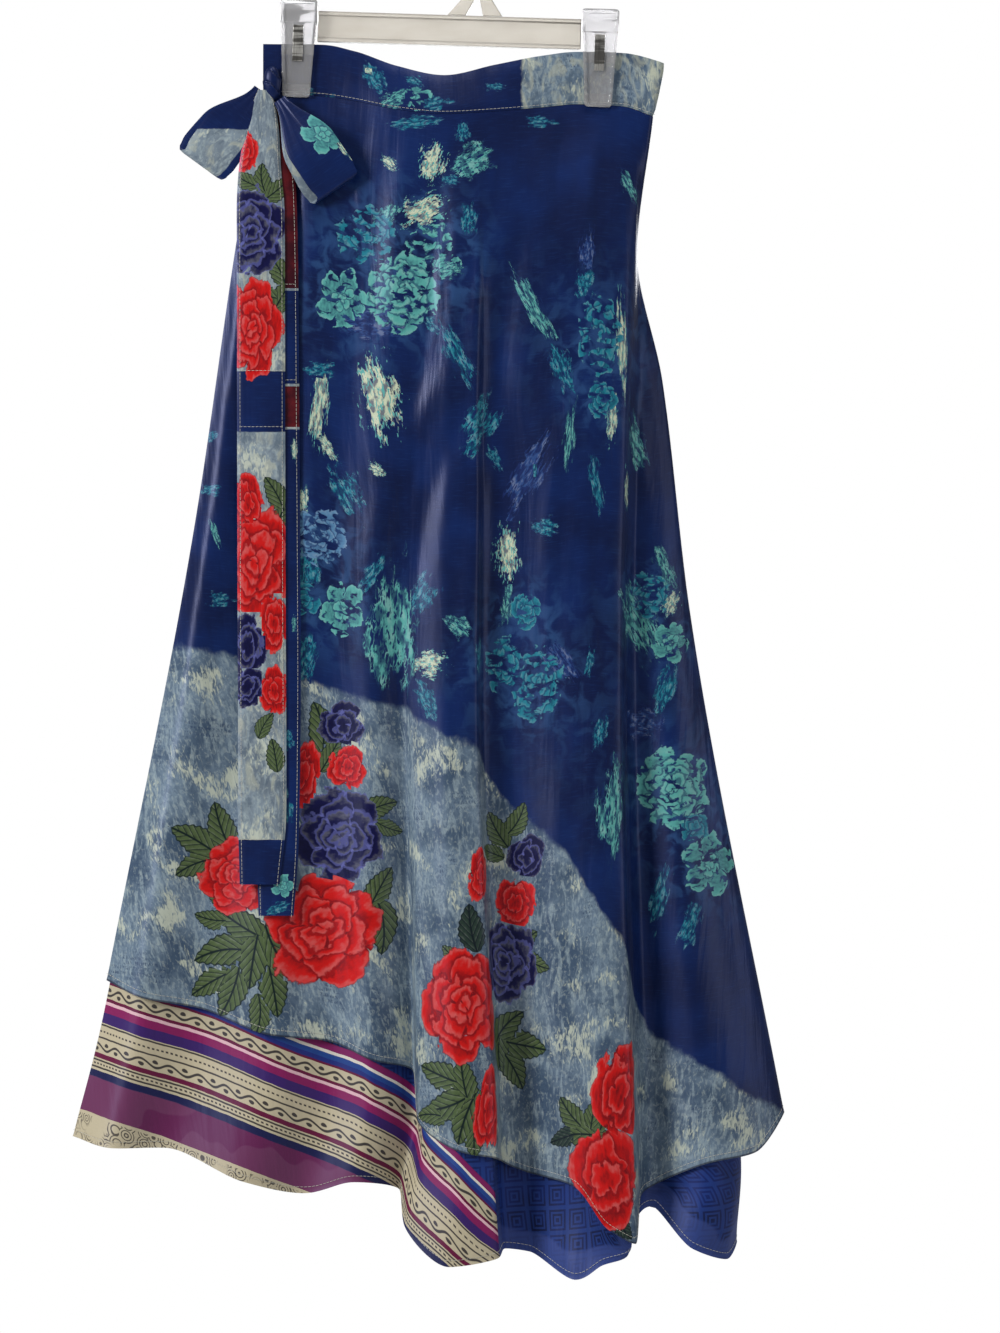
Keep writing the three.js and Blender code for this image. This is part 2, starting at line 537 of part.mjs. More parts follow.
/** The bar between the clips: a web with a flange along its top and one along its foot. */
function bar() {
  const { middle, height, depth, web, flange } = BAR;
  const left = CLIP_X.left + CLIP_HUB.halfWidth + SEAM_GAP;
  const right = CLIP_X.right - CLIP_HUB.halfWidth - SEAM_GAP;
  const h = height / 2;
  const d = depth / 2;
  const w = web / 2;
  const outline = [
    [-d, -h], [d, -h], [d, flange - h], [w, flange - h], [w, h - flange], [d, h - flange],
    [d, h], [-d, h], [-d, h - flange], [-w, h - flange], [-w, flange - h], [-d, flange - h],
  ];
  const shape = new THREE.Shape(outline.map(([y, z]) => new THREE.Vector2(y, z)));
  const geometry = new THREE.ExtrudeGeometry(shape, { depth: right - left, bevelEnabled: false });
  // The outline's first axis becomes Y and its second Z; the extrusion runs along X.
  geometry.applyMatrix4(new THREE.Matrix4().set(0, 0, 1, left, 1, 0, 0, 0, 0, 1, 0, middle, 0, 0, 0, 1));
  return part("hanger_bar", geometry, MATERIAL.plastic);
}

/** A jaw's outline, seen from the front: wide at the grip above, narrow at the foot. */
function jawOutline(centre, inset) {
  const top = CLIP.top - inset;
  const foot = CLIP.top - CLIP.height + inset;
  const w = CLIP.topWidth / 2 - inset;
  const v = CLIP.footWidth / 2 - inset;
  const r = Math.max(CLIP.corner - inset, 0.8);
  const shape = new THREE.Shape();
  shape.moveTo(centre - w + r, top);
  shape.quadraticCurveTo(centre - w, top, centre - w, top - r);
  shape.lineTo(centre - v, foot + r);
  shape.quadraticCurveTo(centre - v, foot, centre - v + r, foot);
  shape.lineTo(centre + v - r, foot);
  shape.quadraticCurveTo(centre + v, foot, centre + v, foot + r);
  shape.lineTo(centre + w, top - r);
  shape.quadraticCurveTo(centre + w, top, centre + w - r, top);
  shape.closePath();
  return shape;
}

/** A jaw: a plate with a raised rim and a slot for the spring. side is -1 in front, 1 behind. */
function jaw(name, centre, grip, side) {
  const near = grip + SEAM_GAP;
  const far = near + CLIP.plate;
  const BITE = 0.5; // how far joined solids reach into each other
  const depths = (a, b) => (side < 0 ? [-b, -a] : [a, b]);
  const body = solidFrom(plate(jawOutline(centre, 0), ...depths(near, far), 3));
  const rim = solidFrom(plate(jawOutline(centre, 0), ...depths(far - BITE, far + CLIP_RIM.height), 3));
  const inside = solidFrom(plate(jawOutline(centre, CLIP_RIM.width), ...depths(far - 1, far + CLIP_RIM.height + 1), 3));
  const slotHalf = SPRING.width / 2 + SEAM_GAP;
  const slot = block(
    centre - slotHalf, centre + slotHalf, ...depths(near - 1, far + 1),
    SPRING.bend - SPRING.thick / 2 - SEAM_GAP, SPRING.bend + SPRING.thick / 2 + SEAM_GAP,
  );
  let solid = body.add(rim.subtract(inside)).subtract(solidFrom(slot));
  if (side > 0) {
    // The hub, which the bar joins, stands on the rear jaw and carries the front one.
    const { halfWidth, foot, top } = CLIP_HUB;
    const hub = block(centre - halfWidth, centre + halfWidth, -grip, near + BITE, foot, top);
    solid = solid.add(solidFrom(hub));
  }
  return part(name, geometryFrom(solid), MATERIAL.plastic);
}

/** The clip's flat spring: a U whose legs lie on the outside of both jaws. */
function spring(name, centre, grip) {
  const { width, thick, bend, foot } = SPRING;
  const legNear = grip + CLIP.plate + 2 * SEAM_GAP;
  const legFar = legNear + thick;
  const [x0, x1] = [centre - width / 2, centre + width / 2];
  const top = bend + thick / 2;
  const bridge = solidFrom(block(x0, x1, -legFar, legFar, top - thick, top));
  const frontLeg = solidFrom(block(x0, x1, -legFar, -legNear, foot, top));
  const rearLeg = solidFrom(block(x0, x1, legNear, legFar, foot, top));
  return part(name, geometryFrom(bridge.add(frontLeg).add(rearLeg)), MATERIAL.steel);
}

// ---- The whole part -----------------------------------------------------------------------

function skirt() {
  const group = new THREE.Group();
  const half = SEAM_GAP / 2;
  const bandTurn = (rowOf(BAND, BAND_SPLIT) * BAND_FINE) / BAND_STRIDE;
  const bandEnd = BAND_GRID[0].length - 1;
  const side = COLUMNS.indexOf(rowOf(FOLDS, SIDE_SPLIT));
  const lapEnd = COLUMNS.length - 1;
  const layers = [
    { name: "waistband", grid: BAND_GRID, inward: BAND_INWARD, turn: bandTurn, end: bandEnd, thickness: BAND_WALL },
    { name: "outer", grid: OUTER_GRID, inward: OUTER_INWARD, turn: side, end: lapEnd, thickness: CLOTH_WALL },
    { name: "under", grid: UNDER_GRID, inward: UNDER_INWARD, turn: side, end: lapEnd, thickness: CLOTH_WALL },
  ];
  for (const { name, grid, inward, turn, end, thickness } of layers) {
    group.add(
      stretch(`${name}_front`, grid, inward, [0, turn], [0, half], thickness, MATERIAL[name]),
      stretch(`${name}_back`, grid, inward, [turn, end], [half, 0], thickness, MATERIAL[name]),
    );
  }
  return group;
}

function tie() {
  const group = new THREE.Group();
  group.add(
    knot(),
    loop("tie_loop_left", LOOPS.left),
    loop("tie_loop_right", LOOPS.right),
    tail("tie_tail_rear", TAILS.rear, TAIL_LIFT.rear),
    tail("tie_tail_front", TAILS.front, TAIL_LIFT.front),
  );
  return group;
}

function hanger() {
  const group = new THREE.Group();
  group.add(hook(), neck(), bar());
  for (const side of ["left", "right"]) {
    group.add(
      jaw(`clip_${side}_front`, CLIP_X[side], GRIP[side], -1),
      jaw(`clip_${side}_rear`, CLIP_X[side], GRIP[side], 1),
      spring(`clip_${side}_spring`, CLIP_X[side], GRIP[side]),
    );
  }
  group.rotation.y = HANGER_TILT;
  return group;
}

const root = new THREE.Group();
root.add(skirt(), tie(), hanger());
export default root;
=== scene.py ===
"""Dresses a two-layer wrap skirt and the clip hanger that it hangs from.

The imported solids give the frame: +Z up, -Y the skirt's front, the origin inside the top of the hook.
Tables and sizes here are millimetres; a mesh is scaled to metres when it is made. The cloth follows
the same band line and folds as the solids, on finer grids, with creases, prints and sewing added.
"""

import logging
import math
from dataclasses import dataclass, field, replace
from enum import Enum
from typing import Callable, Optional, Sequence, Union

import bpy
import bmesh
import numpy as np
from mathutils import Matrix, Vector

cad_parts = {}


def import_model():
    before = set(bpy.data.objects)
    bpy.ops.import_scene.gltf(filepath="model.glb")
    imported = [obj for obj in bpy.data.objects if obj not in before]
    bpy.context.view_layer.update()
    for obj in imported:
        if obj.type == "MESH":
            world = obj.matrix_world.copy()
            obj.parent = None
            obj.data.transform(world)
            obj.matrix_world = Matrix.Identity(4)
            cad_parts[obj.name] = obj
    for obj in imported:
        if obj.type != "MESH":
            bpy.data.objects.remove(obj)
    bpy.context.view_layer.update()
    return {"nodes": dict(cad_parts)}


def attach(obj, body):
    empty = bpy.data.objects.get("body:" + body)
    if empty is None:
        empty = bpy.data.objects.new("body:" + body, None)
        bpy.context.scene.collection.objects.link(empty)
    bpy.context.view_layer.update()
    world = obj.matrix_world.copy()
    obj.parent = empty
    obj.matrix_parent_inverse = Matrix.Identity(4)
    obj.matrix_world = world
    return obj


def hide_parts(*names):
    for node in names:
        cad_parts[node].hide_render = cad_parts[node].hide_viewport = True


LOG = logging.getLogger("wrap_skirt")
MM = 0.001
BODY = "root"

Array = np.ndarray
Socket = bpy.types.NodeSocket
Feed = Union[Socket, float, Sequence[float]]
Colour = tuple[float, float, float, float]
Drawn = tuple[Socket, Socket, Socket]  # a motif's shape, the shade of its fill, and the lines in it


def dye(red: int, green: int, blue: int) -> Colour:
    """A colour from screen values.

    Args:
        red, green, blue: the screen's values, 0 to 255.

    Returns:
        The same colour as linear light, with full opacity.
    """
    def linear(value: int) -> float:
        """One screen value as linear light."""
        share = value / 255
        return share / 12.92 if share <= 0.04045 else ((share + 0.055) / 1.055) ** 2.4

    return (linear(red), linear(green), linear(blue), 1.0)


def put_in_scene(name: str, data: bpy.types.ID) -> bpy.types.Object:
    """A new object with the given data, linked to the scene.

    Args:
        name: its name.
        data: its mesh, camera or light.

    Returns:
        The object.
    """
    made = bpy.data.objects.new(name, data)
    bpy.context.scene.collection.objects.link(made)
    return made


# ---- Smooth lines -------------------------------------------------------------------------


def ease(share: Array) -> Array:
    """A share from 0 to 1 that starts and ends level."""
    return share * share * (3 - 2 * share)


def mix(start: Array, end: Array, share: Array) -> Array:
    """The value at a share of the way from start to end."""
    return start + (end - start) * share


class SmoothLine:
    """A line through knots that overshoots none of them."""

    def __init__(self, knots: Array, places: Optional[Sequence[float]] = None) -> None:
        """Measures the slopes at the knots.

        Args:
            knots: one row of numbers for each knot.
            places: where the knots lie along the line; 0, 1, 2 and so on when left out.
        """
        self.knots = np.asarray(knots, float)
        self.places = np.arange(len(self.knots), dtype=float)
        if places is not None:
            self.places = np.asarray(places, float)
        spans = np.diff(self.places)[:, None]
        slopes = np.diff(self.knots, axis=0) / spans
        before, after = slopes[:-1], slopes[1:]
        same_way = before * after > 0
        total = np.where(same_way, before + after, 1.0)
        middle = np.where(same_way, 2 * before * after / total, 0.0)
        self.slopes = np.vstack([slopes[:1], middle, slopes[-1:]])

    def at(self, t: Array) -> Array:
        """The line's values.

        Args:
            t: places along the line.

        Returns:
            One row for each place.
        """
        t = np.atleast_1d(np.asarray(t, float))
        k = np.clip(np.searchsorted(self.places, t, side="right") - 1, 0, len(self.places) - 2)
        span = (self.places[k + 1] - self.places[k])[:, None]
        u = (t - self.places[k])[:, None] / span
        leaving, arriving = self.slopes[k] * span, self.slopes[k + 1] * span
        turned = leaving * u * (1 - u) ** 2 - arriving * u * u * (1 - u)
        return mix(self.knots[k], self.knots[k + 1], ease(u)) + turned


# ---- The cut of the skirt -----------------------------------------------------------------


@dataclass(frozen=True)
class BandStation:
    """A place on the waistband's line: x and y of its face at the seam, the heights of its edges,
    and how far its top edge stands behind the seam (lean) and to the right of it (flare)."""

    name: str
    x: float
    y: float
    top: float
    seam: float
    lean: float = 0
    flare: float = 0


BAND = (
    BandStation("free end", -152, -6.4, -93, -133),
    BandStation("left clip", -106, -6.4, -93.5, -135),
    BandStation("left slope", -78, -10.5, -99, -139.5, lean=3),
    BandStation("left dip", -44, -18, -111, -147, lean=8),
    BandStation("front dip", -6, -21, -118.5, -151, lean=10),
    BandStation("right dip", 34, -17, -110, -148.5, lean=8),
    BandStation("right slope", 72, -9, -102.5, -144.5, lean=2),
    BandStation("right clip", 101, -4.4, -99, -141.5),
    BandStation("shoulder", 136, -4.4, -100, -143, flare=2),
    BandStation("right front", 157, -4.4, -106, -149.5, flare=7),
    BandStation("into right turn", 160.8, -3, -107.6, -150.6, flare=8.6),
    BandStation("right turn", 162.2, 0, -108, -151, flare=9),
    BandStation("out of right turn", 160.8, 3, -107.6, -150.6, flare=8.6),
    BandStation("right back", 157, 4.4, -106, -149.5, flare=7),
    BandStation("back shoulder", 136, 4.4, -101, -144, flare=2),
    BandStation("back right clip", 101, 4.4, -101, -143),
    BandStation("back right", 60, 8, -111, -151, lean=-2),
    BandStation("back middle", -8, 12, -122, -159, lean=-3),
    BandStation("back left", -70, 9.5, -106, -147, lean=-2),
    BandStation("back left clip", -106, 6.4, -96, -137),
    BandStation("left back", -142.6, 6.4, -95, -134.5),
    BandStation("into left turn", -146.4, 5, -95, -134.5),
    BandStation("left turn", -147.8, 2, -95, -134.5),
    BandStation("out of left turn", -146.4, -1, -95, -134.5),
    BandStation("lap start", -142.6, -2.3, -95, -134.5),
    BandStation("lap end", -106, -2.3, -95, -135),
)
BAND_SPLIT = "right turn"


@dataclass(frozen=True)
class Fold:
    """A fold of the skirt: where along the band it hangs from, and the points its face passes
    through, in plan at the high and middle levels, and at the outer and the under layer's hem.
    Then the height at which the outer layer's slate ground takes over from the navy one, and that
    of the under layer's first vine stripe. The folds at the right hip have one more point in plan,
    between the high and middle ones."""

    name: str
    band: float
    high: tuple[float, float]
    middle: tuple[float, float]
    hem: tuple[float, float, float]
    under: tuple[float, float, float]
    slate: float
    border: float
    steps: int = 3
    hip: Optional[tuple[float, float]] = None


FOLDS = (
    Fold("free edge", 0, (-170, -11), (-208, -14), (-277, -15, -845), (-304, -15, -970), -577, -849),
    Fold("left crest", 18, (-156, -16), (-193, -22), (-246, -38, -858), (-270, -44, -977), -579, -858),
    Fold("left dip", 34, (-136, -15), (-166, -21), (-201, -27, -867), (-228, -30, -978), -586, -872),
    Fold("tie crest", 58, (-108, -20), (-130, -27), (-146, -42, -887), (-166, -50, -1003), -596, -894),
    Fold("soft dip", 91, (-76, -20), (-97, -26), (-98, -30, -893), (-118, -32, -1014), -611, -913),
    Fold("near crest", 123, (-40, -26), (-62, -34), (-64, -42, -907), (-78, -44, -1004), -620, -926, 2),
    Fold("valley a", 143, (-18, -26), (-42, -30), (-31, -27, -917), (-42, -23, -1012), -625, -948, 2),
    Fold("flank a", 153, (-7, -29), (-30, -33), (-27, -47, -954), (-38, -50, -1036), -632, -968),
    Fold("crest a", 163, (4, -31), (-4, -42), (8, -68, -978), (-2, -74, -1068), -648, -1001),
    Fold("ridge a", 175, (19, -31), (18, -40), (36, -60, -984), (37, -64, -1062), -655, -1028),
    Fold("behind a", 182, (26, -28.5), (25, -29), (41, -34, -989), (42, -34, -1058), -676, -1034, 2),
    Fold("dip b", 192, (36, -27), (42, -25), (58, -28, -997), (62, -28, -1061), -705, -1050),
    Fold("crest b", 220, (68, -28), (82, -34), (96, -50, -1006), (98, -58, -1080), -737, -1065),
    Fold("slope b", 252, (102, -27), (112, -38), (124, -58, -1040), (120, -62, -1068), -785, -1080),
    Fold("ridge b", 287, (141, -19), (134, -33), (146, -54, -1052), (139, -54, -1062), -815, -1090),
    Fold("behind b", 305, (147, -12), (141, -18), (151, -31, -1016), (147, -31, -1034), -860, -1100, 2),
    Fold("right dip", 311, (148, -7), (149, -10), (164, -18, -1008), (160, -18, -1026), -885, -1105),
    Fold("right crest", 319, (148.5, -2.5), (166, -12), (204, -36, -990), (192, -36, -1058), -908, -1110),
    Fold("right slope", 328, (149, 2), (184, -6), (243, -24, -982), (220, -20, -1068),
         -935, -1112, hip=(163, 0)),
    Fold("side edge", 337, (148.5, 7), (191.5, 4), (267, 0, -952), (229, 2, -1056),
         -951, -1110, hip=(169.5, 6)),
    Fold("side back", 347, (143, 11), (184, 13), (258, 15, -958), (222, 15, -1055),
         -954, -1100, hip=(163.5, 12.5)),
    Fold("back right", 368, (128, 13), (168, 15), (234, 20, -974), (204, 20, -1046), -950, -1080),
    Fold("back crest right", 414, (84, 17), (110, 20), (152, 38, -988), (140, 42, -1030), -925, -1050, 4),
    Fold("back dip right", 464, (36, 17), (44, 19), (62, 26, -972), (60, 26, -1036), -870, -1010, 4),
    Fold("back crest left", 514, (-20, 18), (-34, 21), (-44, 40, -944), (-50, 45, -1004), -790, -968, 4),
    Fold("back dip left", 562, (-74, 16), (-110, 18), (-140, 26, -904), (-160, 26, -1000), -700, -915, 4),
    Fold("back left", 606, (-130, 13), (-180, 16), (-226, 25, -869), (-252, 28, -972), -625, -862),
    Fold("into left turn", 626, (-157, 11), (-198, 13), (-256, 16, -853), (-281, 18, -965), -596, -852),
    Fold("left turn", 634, (-164, 4), (-203, 5), (-262, 7, -849), (-287, 8, -962), -590, -849),
    Fold("lap start", 645, (-156, -4), (-194, -5), (-250, -6, -855), (-273, -7, -967), -586, -852),
    Fold("lap end", 672, (-124, -5), (-150, -8), (-196, -9, -867), (-214, -10, -978), -590, -860, 0),
)
SIDE_SPLIT = "side edge"
LEVELS = (0, 0.14, 0.5, 1)
HIP_LEVEL = 0.27

# Round the right side the under layer hangs straighter: how far in it has come at the outer hem,
# as a share of the way, across, from the outer hem to its own.
DRAWN_IN = {
    "right crest": 0.2, "right slope": 0.85, "side edge": 0.92, "side back": 0.92, "back right": 0.8,
    "back crest right": 0.3,
}
DRAWN_FROM = 0.45


@dataclass(frozen=True)
class Crease:
    """A soft ridge, or a trough where its depth is negative, between two points seen from the
    front or the back."""

    start: tuple[float, float]
    end: tuple[float, float]
    width: float
    depth: float


# The pulls from the clips and the dip, then the long lines and the slant folds below them, then the
# swings, ridges and troughs towards the hem.
FRONT_CREASES = (
    Crease((-96, -152), (-118, -236), 9, 1.6), Crease((-70, -160), (-82, -262), 8, -1.3),
    Crease((-34, -168), (-42, -330), 10, 1.5), Crease((2, -172), (-4, -268), 8, -1.2),
    Crease((36, -236), (18, -392), 8, 1.8), Crease((60, -236), (40, -394), 9, -1.5),
    Crease((38, -380), (14, -632), 10, 1.7), Crease((-2, -352), (-64, -516), 11, 2.0),
    Crease((16, -372), (-32, -540), 10, -1.8), Crease((-106, -350), (-106, -520), 9, 1.2),
    Crease((100, -368), (76, -540), 9, 1.7), Crease((120, -430), (126, -620), 8, -1.6),
    Crease((152, -390), (163, -580), 8, 1.4), Crease((118, -152), (112, -300), 8, 1.4),
    Crease((92, -150), (88, -250), 7, -1.2), Crease((-176, -420), (-206, -700), 12, 1.8),
    Crease((-152, -560), (-176, -800), 11, -1.8), Crease((-70, -700), (-56, -905), 13, 2.2),
    Crease((-110, -700), (-120, -890), 12, -1.9), Crease((-22, -640), (-12, -860), 10, -1.8),
    Crease((90, -660), (86, -985), 13, 2.2), Crease((64, -730), (74, -960), 9, -1.6),
    Crease((176, -620), (206, -930), 12, 2.0), Crease((196, -560), (232, -900), 11, -1.7),
)
BACK_CREASES = (
    Crease((-92, -160), (-112, -300), 9, 1.6), Crease((-8, -176), (-16, -330), 10, -1.5),
    Crease((78, -160), (92, -290), 9, 1.5), Crease((30, -330), (-22, -560), 11, 2.0),
    Crease((72, -300), (104, -620), 10, -1.7), Crease((-150, -420), (-200, -780), 12, 1.9),
    Crease((-92, -600), (-104, -880), 13, 2.2), Crease((10, -640), (4, -930), 12, -2.0),
    Crease((120, -620), (148, -950), 12, 2.0), Crease((176, -500), (222, -900), 11, -1.7),
)


# ---- The print ----------------------------------------------------------------------------


class Form(Enum):
    """The motifs of the print. The value is the number by which the finish picks one."""

    ROSE = 1
    FLOWER = 2
    LEAF = 3
    BUD = 4
    BRUSH = 5


class Tone(Enum):
    """The colours of a motif: its fill, and the lines inside and round it."""

    RED = (dye(190, 18, 8), dye(112, 8, 10))
    INDIGO = (dye(12, 12, 58), dye(86, 90, 150))
    GREEN = (dye(76, 92, 56), dye(14, 28, 24))
    DARK_GREEN = (dye(38, 54, 44), dye(12, 22, 24))
    MINT = (dye(82, 156, 150), dye(14, 36, 82))
    TEAL = (dye(30, 116, 134), dye(16, 36, 84))
    PALE_BLUE = (dye(78, 120, 156), dye(18, 34, 84))
    CREAM = (dye(188, 196, 168), dye(90, 160, 156))
    HAZE = (dye(40, 68, 120), dye(20, 38, 88))


@dataclass(frozen=True)
class Motif:
    """One motif, placed as it shows from the front: its middle, its half length, its width as a
    share of that, the turn of its length in degrees, and how worn the print of it is."""

    form: Form
    tone: Tone
    x: float
    z: float
    size: float
    aspect: float = 1
    turn: float = 0
    worn: float = 0


Prints = tuple[tuple[Motif, ...], tuple[Motif, ...]]  # a piece's lower and upper printed layer


def brushes(rows: Sequence[tuple[Tone, float, float, float, float, float]]) -> tuple[Motif, ...]:
    """Brush marks from rows of tone, x, z, half length, aspect and turn."""
    return tuple(Motif(Form.BRUSH, *row) for row in rows)


def leaves(rows: Sequence[tuple[float, float, float, float]], tone: Tone = Tone.GREEN) -> tuple[Motif, ...]:
    """Leaves from rows of x, z, half length and turn."""
    width = 0.6
    return tuple(Motif(Form.LEAF, tone, x, z, size, width, turn) for x, z, size, turn in rows)


def blooms(form: Form, tone: Tone, worn: float, rows: Sequence[tuple[float, ...]]) -> tuple[Motif, ...]:
    """Motifs of one form and tone.

    Args:
        form, tone: what they have in common.
        worn: how worn their print is, from 0 to 1.
        rows: each one's x, z and size, with its aspect and turn where they differ.

    Returns:
        The motifs, in the same order.
    """
    spread = 1.12  # a bloom's petals reach a little less far than its circle
    return tuple(Motif(form, tone, x, z, size * spread, *rest, worn=worn) for x, z, size, *rest in rows)


NAVY_MARKS = brushes((
    (Tone.TEAL, -31, -158, 24, 0.3, 8), (Tone.TEAL, 8, -165, 11, 0.7, 80),
    (Tone.TEAL, 70, -156, 15, 0.4, 0), (Tone.MINT, 17, -189, 21, 0.8, 30),
    (Tone.CREAM, -16, -190, 19, 0.7, 70), (Tone.TEAL, -2, -204, 10, 0.6, 0),
    (Tone.CREAM, -50, -190, 10, 0.5, -40), (Tone.TEAL, 13, -235, 17, 0.5, 80),
    (Tone.CREAM, -22, -229, 20, 0.8, 30), (Tone.MINT, -52, -232, 14, 0.7, 40),
    (Tone.TEAL, -16, -320, 13, 0.5, -50), (Tone.MINT, -2, -277, 14, 0.6, 10),
    (Tone.TEAL, 4, -344, 34, 0.34, -62), (Tone.MINT, 66, -307, 40, 0.22, -62),
    (Tone.TEAL, 87, -354, 26, 0.4, -72), (Tone.TEAL, 106, -288, 16, 0.6, 80),
    (Tone.MINT, 142, -208, 20, 0.3, -64), (Tone.HAZE, 109, -262, 22, 0.4, 84),
    (Tone.CREAM, 136, -336, 44, 0.12, 92), (Tone.CREAM, -106, -384, 38, 0.2, 84),
    (Tone.TEAL, -106, -356, 14, 0.6, 0), (Tone.CREAM, -58, -376, 38, 0.52, -78),
    (Tone.CREAM, -60, -436, 9, 0.6, -40), (Tone.TEAL, -84, -453, 27, 0.5, -62),
    (Tone.CREAM, -100, -418, 14, 0.4, -60), (Tone.TEAL, 22, -400, 30, 0.66, 60),
    (Tone.TEAL, 34, -426, 14, 0.4, -60), (Tone.CREAM, -119, -461, 13, 0.4, 90),
    (Tone.TEAL, -117, -516, 22, 0.6, 86), (Tone.TEAL, -116, -584, 24, 0.5, 80),
    (Tone.MINT, -46, -562, 56, 0.5, 88), (Tone.TEAL, -64, -520, 22, 0.4, 60),
    (Tone.TEAL, -24, -538, 24, 0.6, 66), (Tone.CREAM, -18, -591, 17, 0.8, 0),
    (Tone.TEAL, -20, -620, 21, 0.5, -60), (Tone.CREAM, 44, -502, 27, 0.42, 90),
    (Tone.MINT, 44, -544, 20, 0.3, 84), (Tone.MINT, 6, -562, 14, 0.7, -40),
    (Tone.TEAL, 22, -584, 18, 0.4, 80), (Tone.TEAL, 74, -482, 14, 0.7, 0),
    (Tone.TEAL, 66, -436, 15, 0.3, 80), (Tone.MINT, 94, -410, 34, 0.16, 84),
    (Tone.TEAL, 115, -448, 27, 0.26, -80), (Tone.MINT, 147, -414, 28, 0.42, -72),
    (Tone.CREAM, 128, -396, 22, 0.24, 86), (Tone.CREAM, 140, -452, 18, 0.25, 90),
    (Tone.MINT, 171, -514, 24, 0.42, -70), (Tone.MINT, 148, -558, 44, 0.42, -62),
    (Tone.CREAM, 176, -543, 13, 0.6, 60), (Tone.TEAL, 170, -614, 26, 0.4, 70),
    (Tone.HAZE, 152, -640, 22, 0.8, 0), (Tone.MINT, 128, -704, 48, 0.3, 86),
    (Tone.TEAL, 166, -779, 30, 0.32, 76), (Tone.TEAL, 110, -590, 14, 0.3, 80),
    (Tone.TEAL, -194, -452, 12, 0.5, 0), (Tone.MINT, -190, -486, 15, 0.24, -70),
    (Tone.TEAL, -194, -408, 10, 0.6, 0), (Tone.TEAL, -186, -540, 12, 0.6, 0),
    (Tone.HAZE, -60, -320, 34, 0.5, 0), (Tone.HAZE, 60, -440, 40, 0.4, 60),
    (Tone.TEAL, 190, -800, 24, 0.4, 70), (Tone.TEAL, 118, -646, 18, 0.4, 80),
    (Tone.HAZE, 88, -590, 24, 0.5, -60),
))
NAVY_BLOOMS = (
    *blooms(Form.ROSE, Tone.TEAL, 0.75, (
        (-68, -248, 24, 0.95, 20), (118, -329, 30, 0.6, 90), (158, -536, 18), (68, -608, 29, 0.72, 80),
        (41, -592, 22, 0.7, 90),
    )),
    *blooms(Form.ROSE, Tone.MINT, 0.62, ((-41, -295, 32, 0.9, 80), (178, -690, 31))),
    *blooms(Form.BUD, Tone.MINT, 0.8, ((-16, -250, 22, 0.8, 60), (-4, -272, 14, 0.7, 20))),
    *blooms(Form.ROSE, Tone.PALE_BLUE, 0.7, ((-107, -490, 22),)),
    *blooms(Form.FLOWER, Tone.MINT, 0.6, (
        (-88, -299, 24, 0.8, 90), (-87, -548, 22, 0.8, 90), (206, -752, 24), (176, -574, 16),
    )),
    *blooms(Form.BUD, Tone.TEAL, 0.6, (
        (59, -547, 15, 0.8, 90), (120, -378, 15, 0.8, 90), (196, -722, 14), (-116, -540, 13),
    )),
)
BOUQUET_LEAVES = (
    *leaves((
        (-105, -642, 22, 100), (-97, -664, 16, 60), (-58, -706, 17, 20), (-50, -722, 13, -20),
        (-57, -770, 20, 60), (-56, -800, 24, -84), (-206, -732, 22, 150), (-184, -722, 22, 110),
        (-204, -752, 20, 200), (-180, -744, 18, 40), (-192, -795, 15, 170), (-188, -776, 14, 130),
        (-168, -800, 24, 150), (-184, -822, 24, 190), (-158, -826, 26, -100), (-176, -852, 24, -112),
        (-138, -822, 26, -60), (-142, -852, 22, -80), (-154, -872, 18, -95), (-192, -846, 20, 210),
    )),
    *leaves((
        (36, -724, 17, 120), (52, -716, 16, 60), (30, -742, 13, 160), (56, -815, 18, 40),
        (66, -830, 16, -20), (2, -824, 14, 140), (42, -884, 22, 50), (58, -896, 22, -10),
        (48, -914, 20, -60), (38, -900, 18, -90), (-8, -918, 22, 160), (-2, -940, 24, 200),
        (12, -950, 24, -110), (10, -922, 20, 100), (-16, -950, 16, 180), (18, -968, 16, -90),
    )),
    *leaves(((96, -950, 18, 130), (104, -966, 20, 180), (112, -952, 16, 80), (124, -950, 17, 60),
             (124, -972, 16, -30))),
    *leaves(((16, -801, 20, 100), (136, -1038, 13, -60), (90, -968, 15, 200)), Tone.DARK_GREEN),
)
BOUQUET_BLOOMS = (
    *blooms(Form.ROSE, Tone.INDIGO, 0, ((-89, -729, 36), (42, -830, 31, 0.86, 90))),
    *blooms(Form.BUD, Tone.INDIGO, 0, ((-86, -638, 19, 0.95, 60), (61, -743, 19, 0.8, 70))),
    *blooms(Form.ROSE, Tone.RED, 0, (
        (-102, -803, 46, 0.94, 30), (-172, -762, 29), (10, -862, 44, 0.8, 90),
    )),
    *blooms(Form.BUD, Tone.RED, 0, (
        (-83, -672, 18, 0.9, 80), (-119, -676, 28, 0.5, 84), (51, -780, 21, 0.8, 90), (24, -756, 22, 0.5, 84),
        (30, -940, 34, 0.34, 84), (134, -928, 42, 0.5, 84), (122, -994, 42, 0.66, 96),
    )),
)
TIE_LEAVES = leaves((
    (-151, -205, 15, 100), (-140, -212, 15, 40), (-166, -204, 13, 150), (-139, -276, 16, 120),
    (-136, -298, 17, 60), (-148, -296, 15, 160), (-141, -455, 16, 120), (-139, -480, 18, 70),
    (-144, -502, 14, 30), (-141, -664, 14, 100), (-149, -640, 12, 60),
))
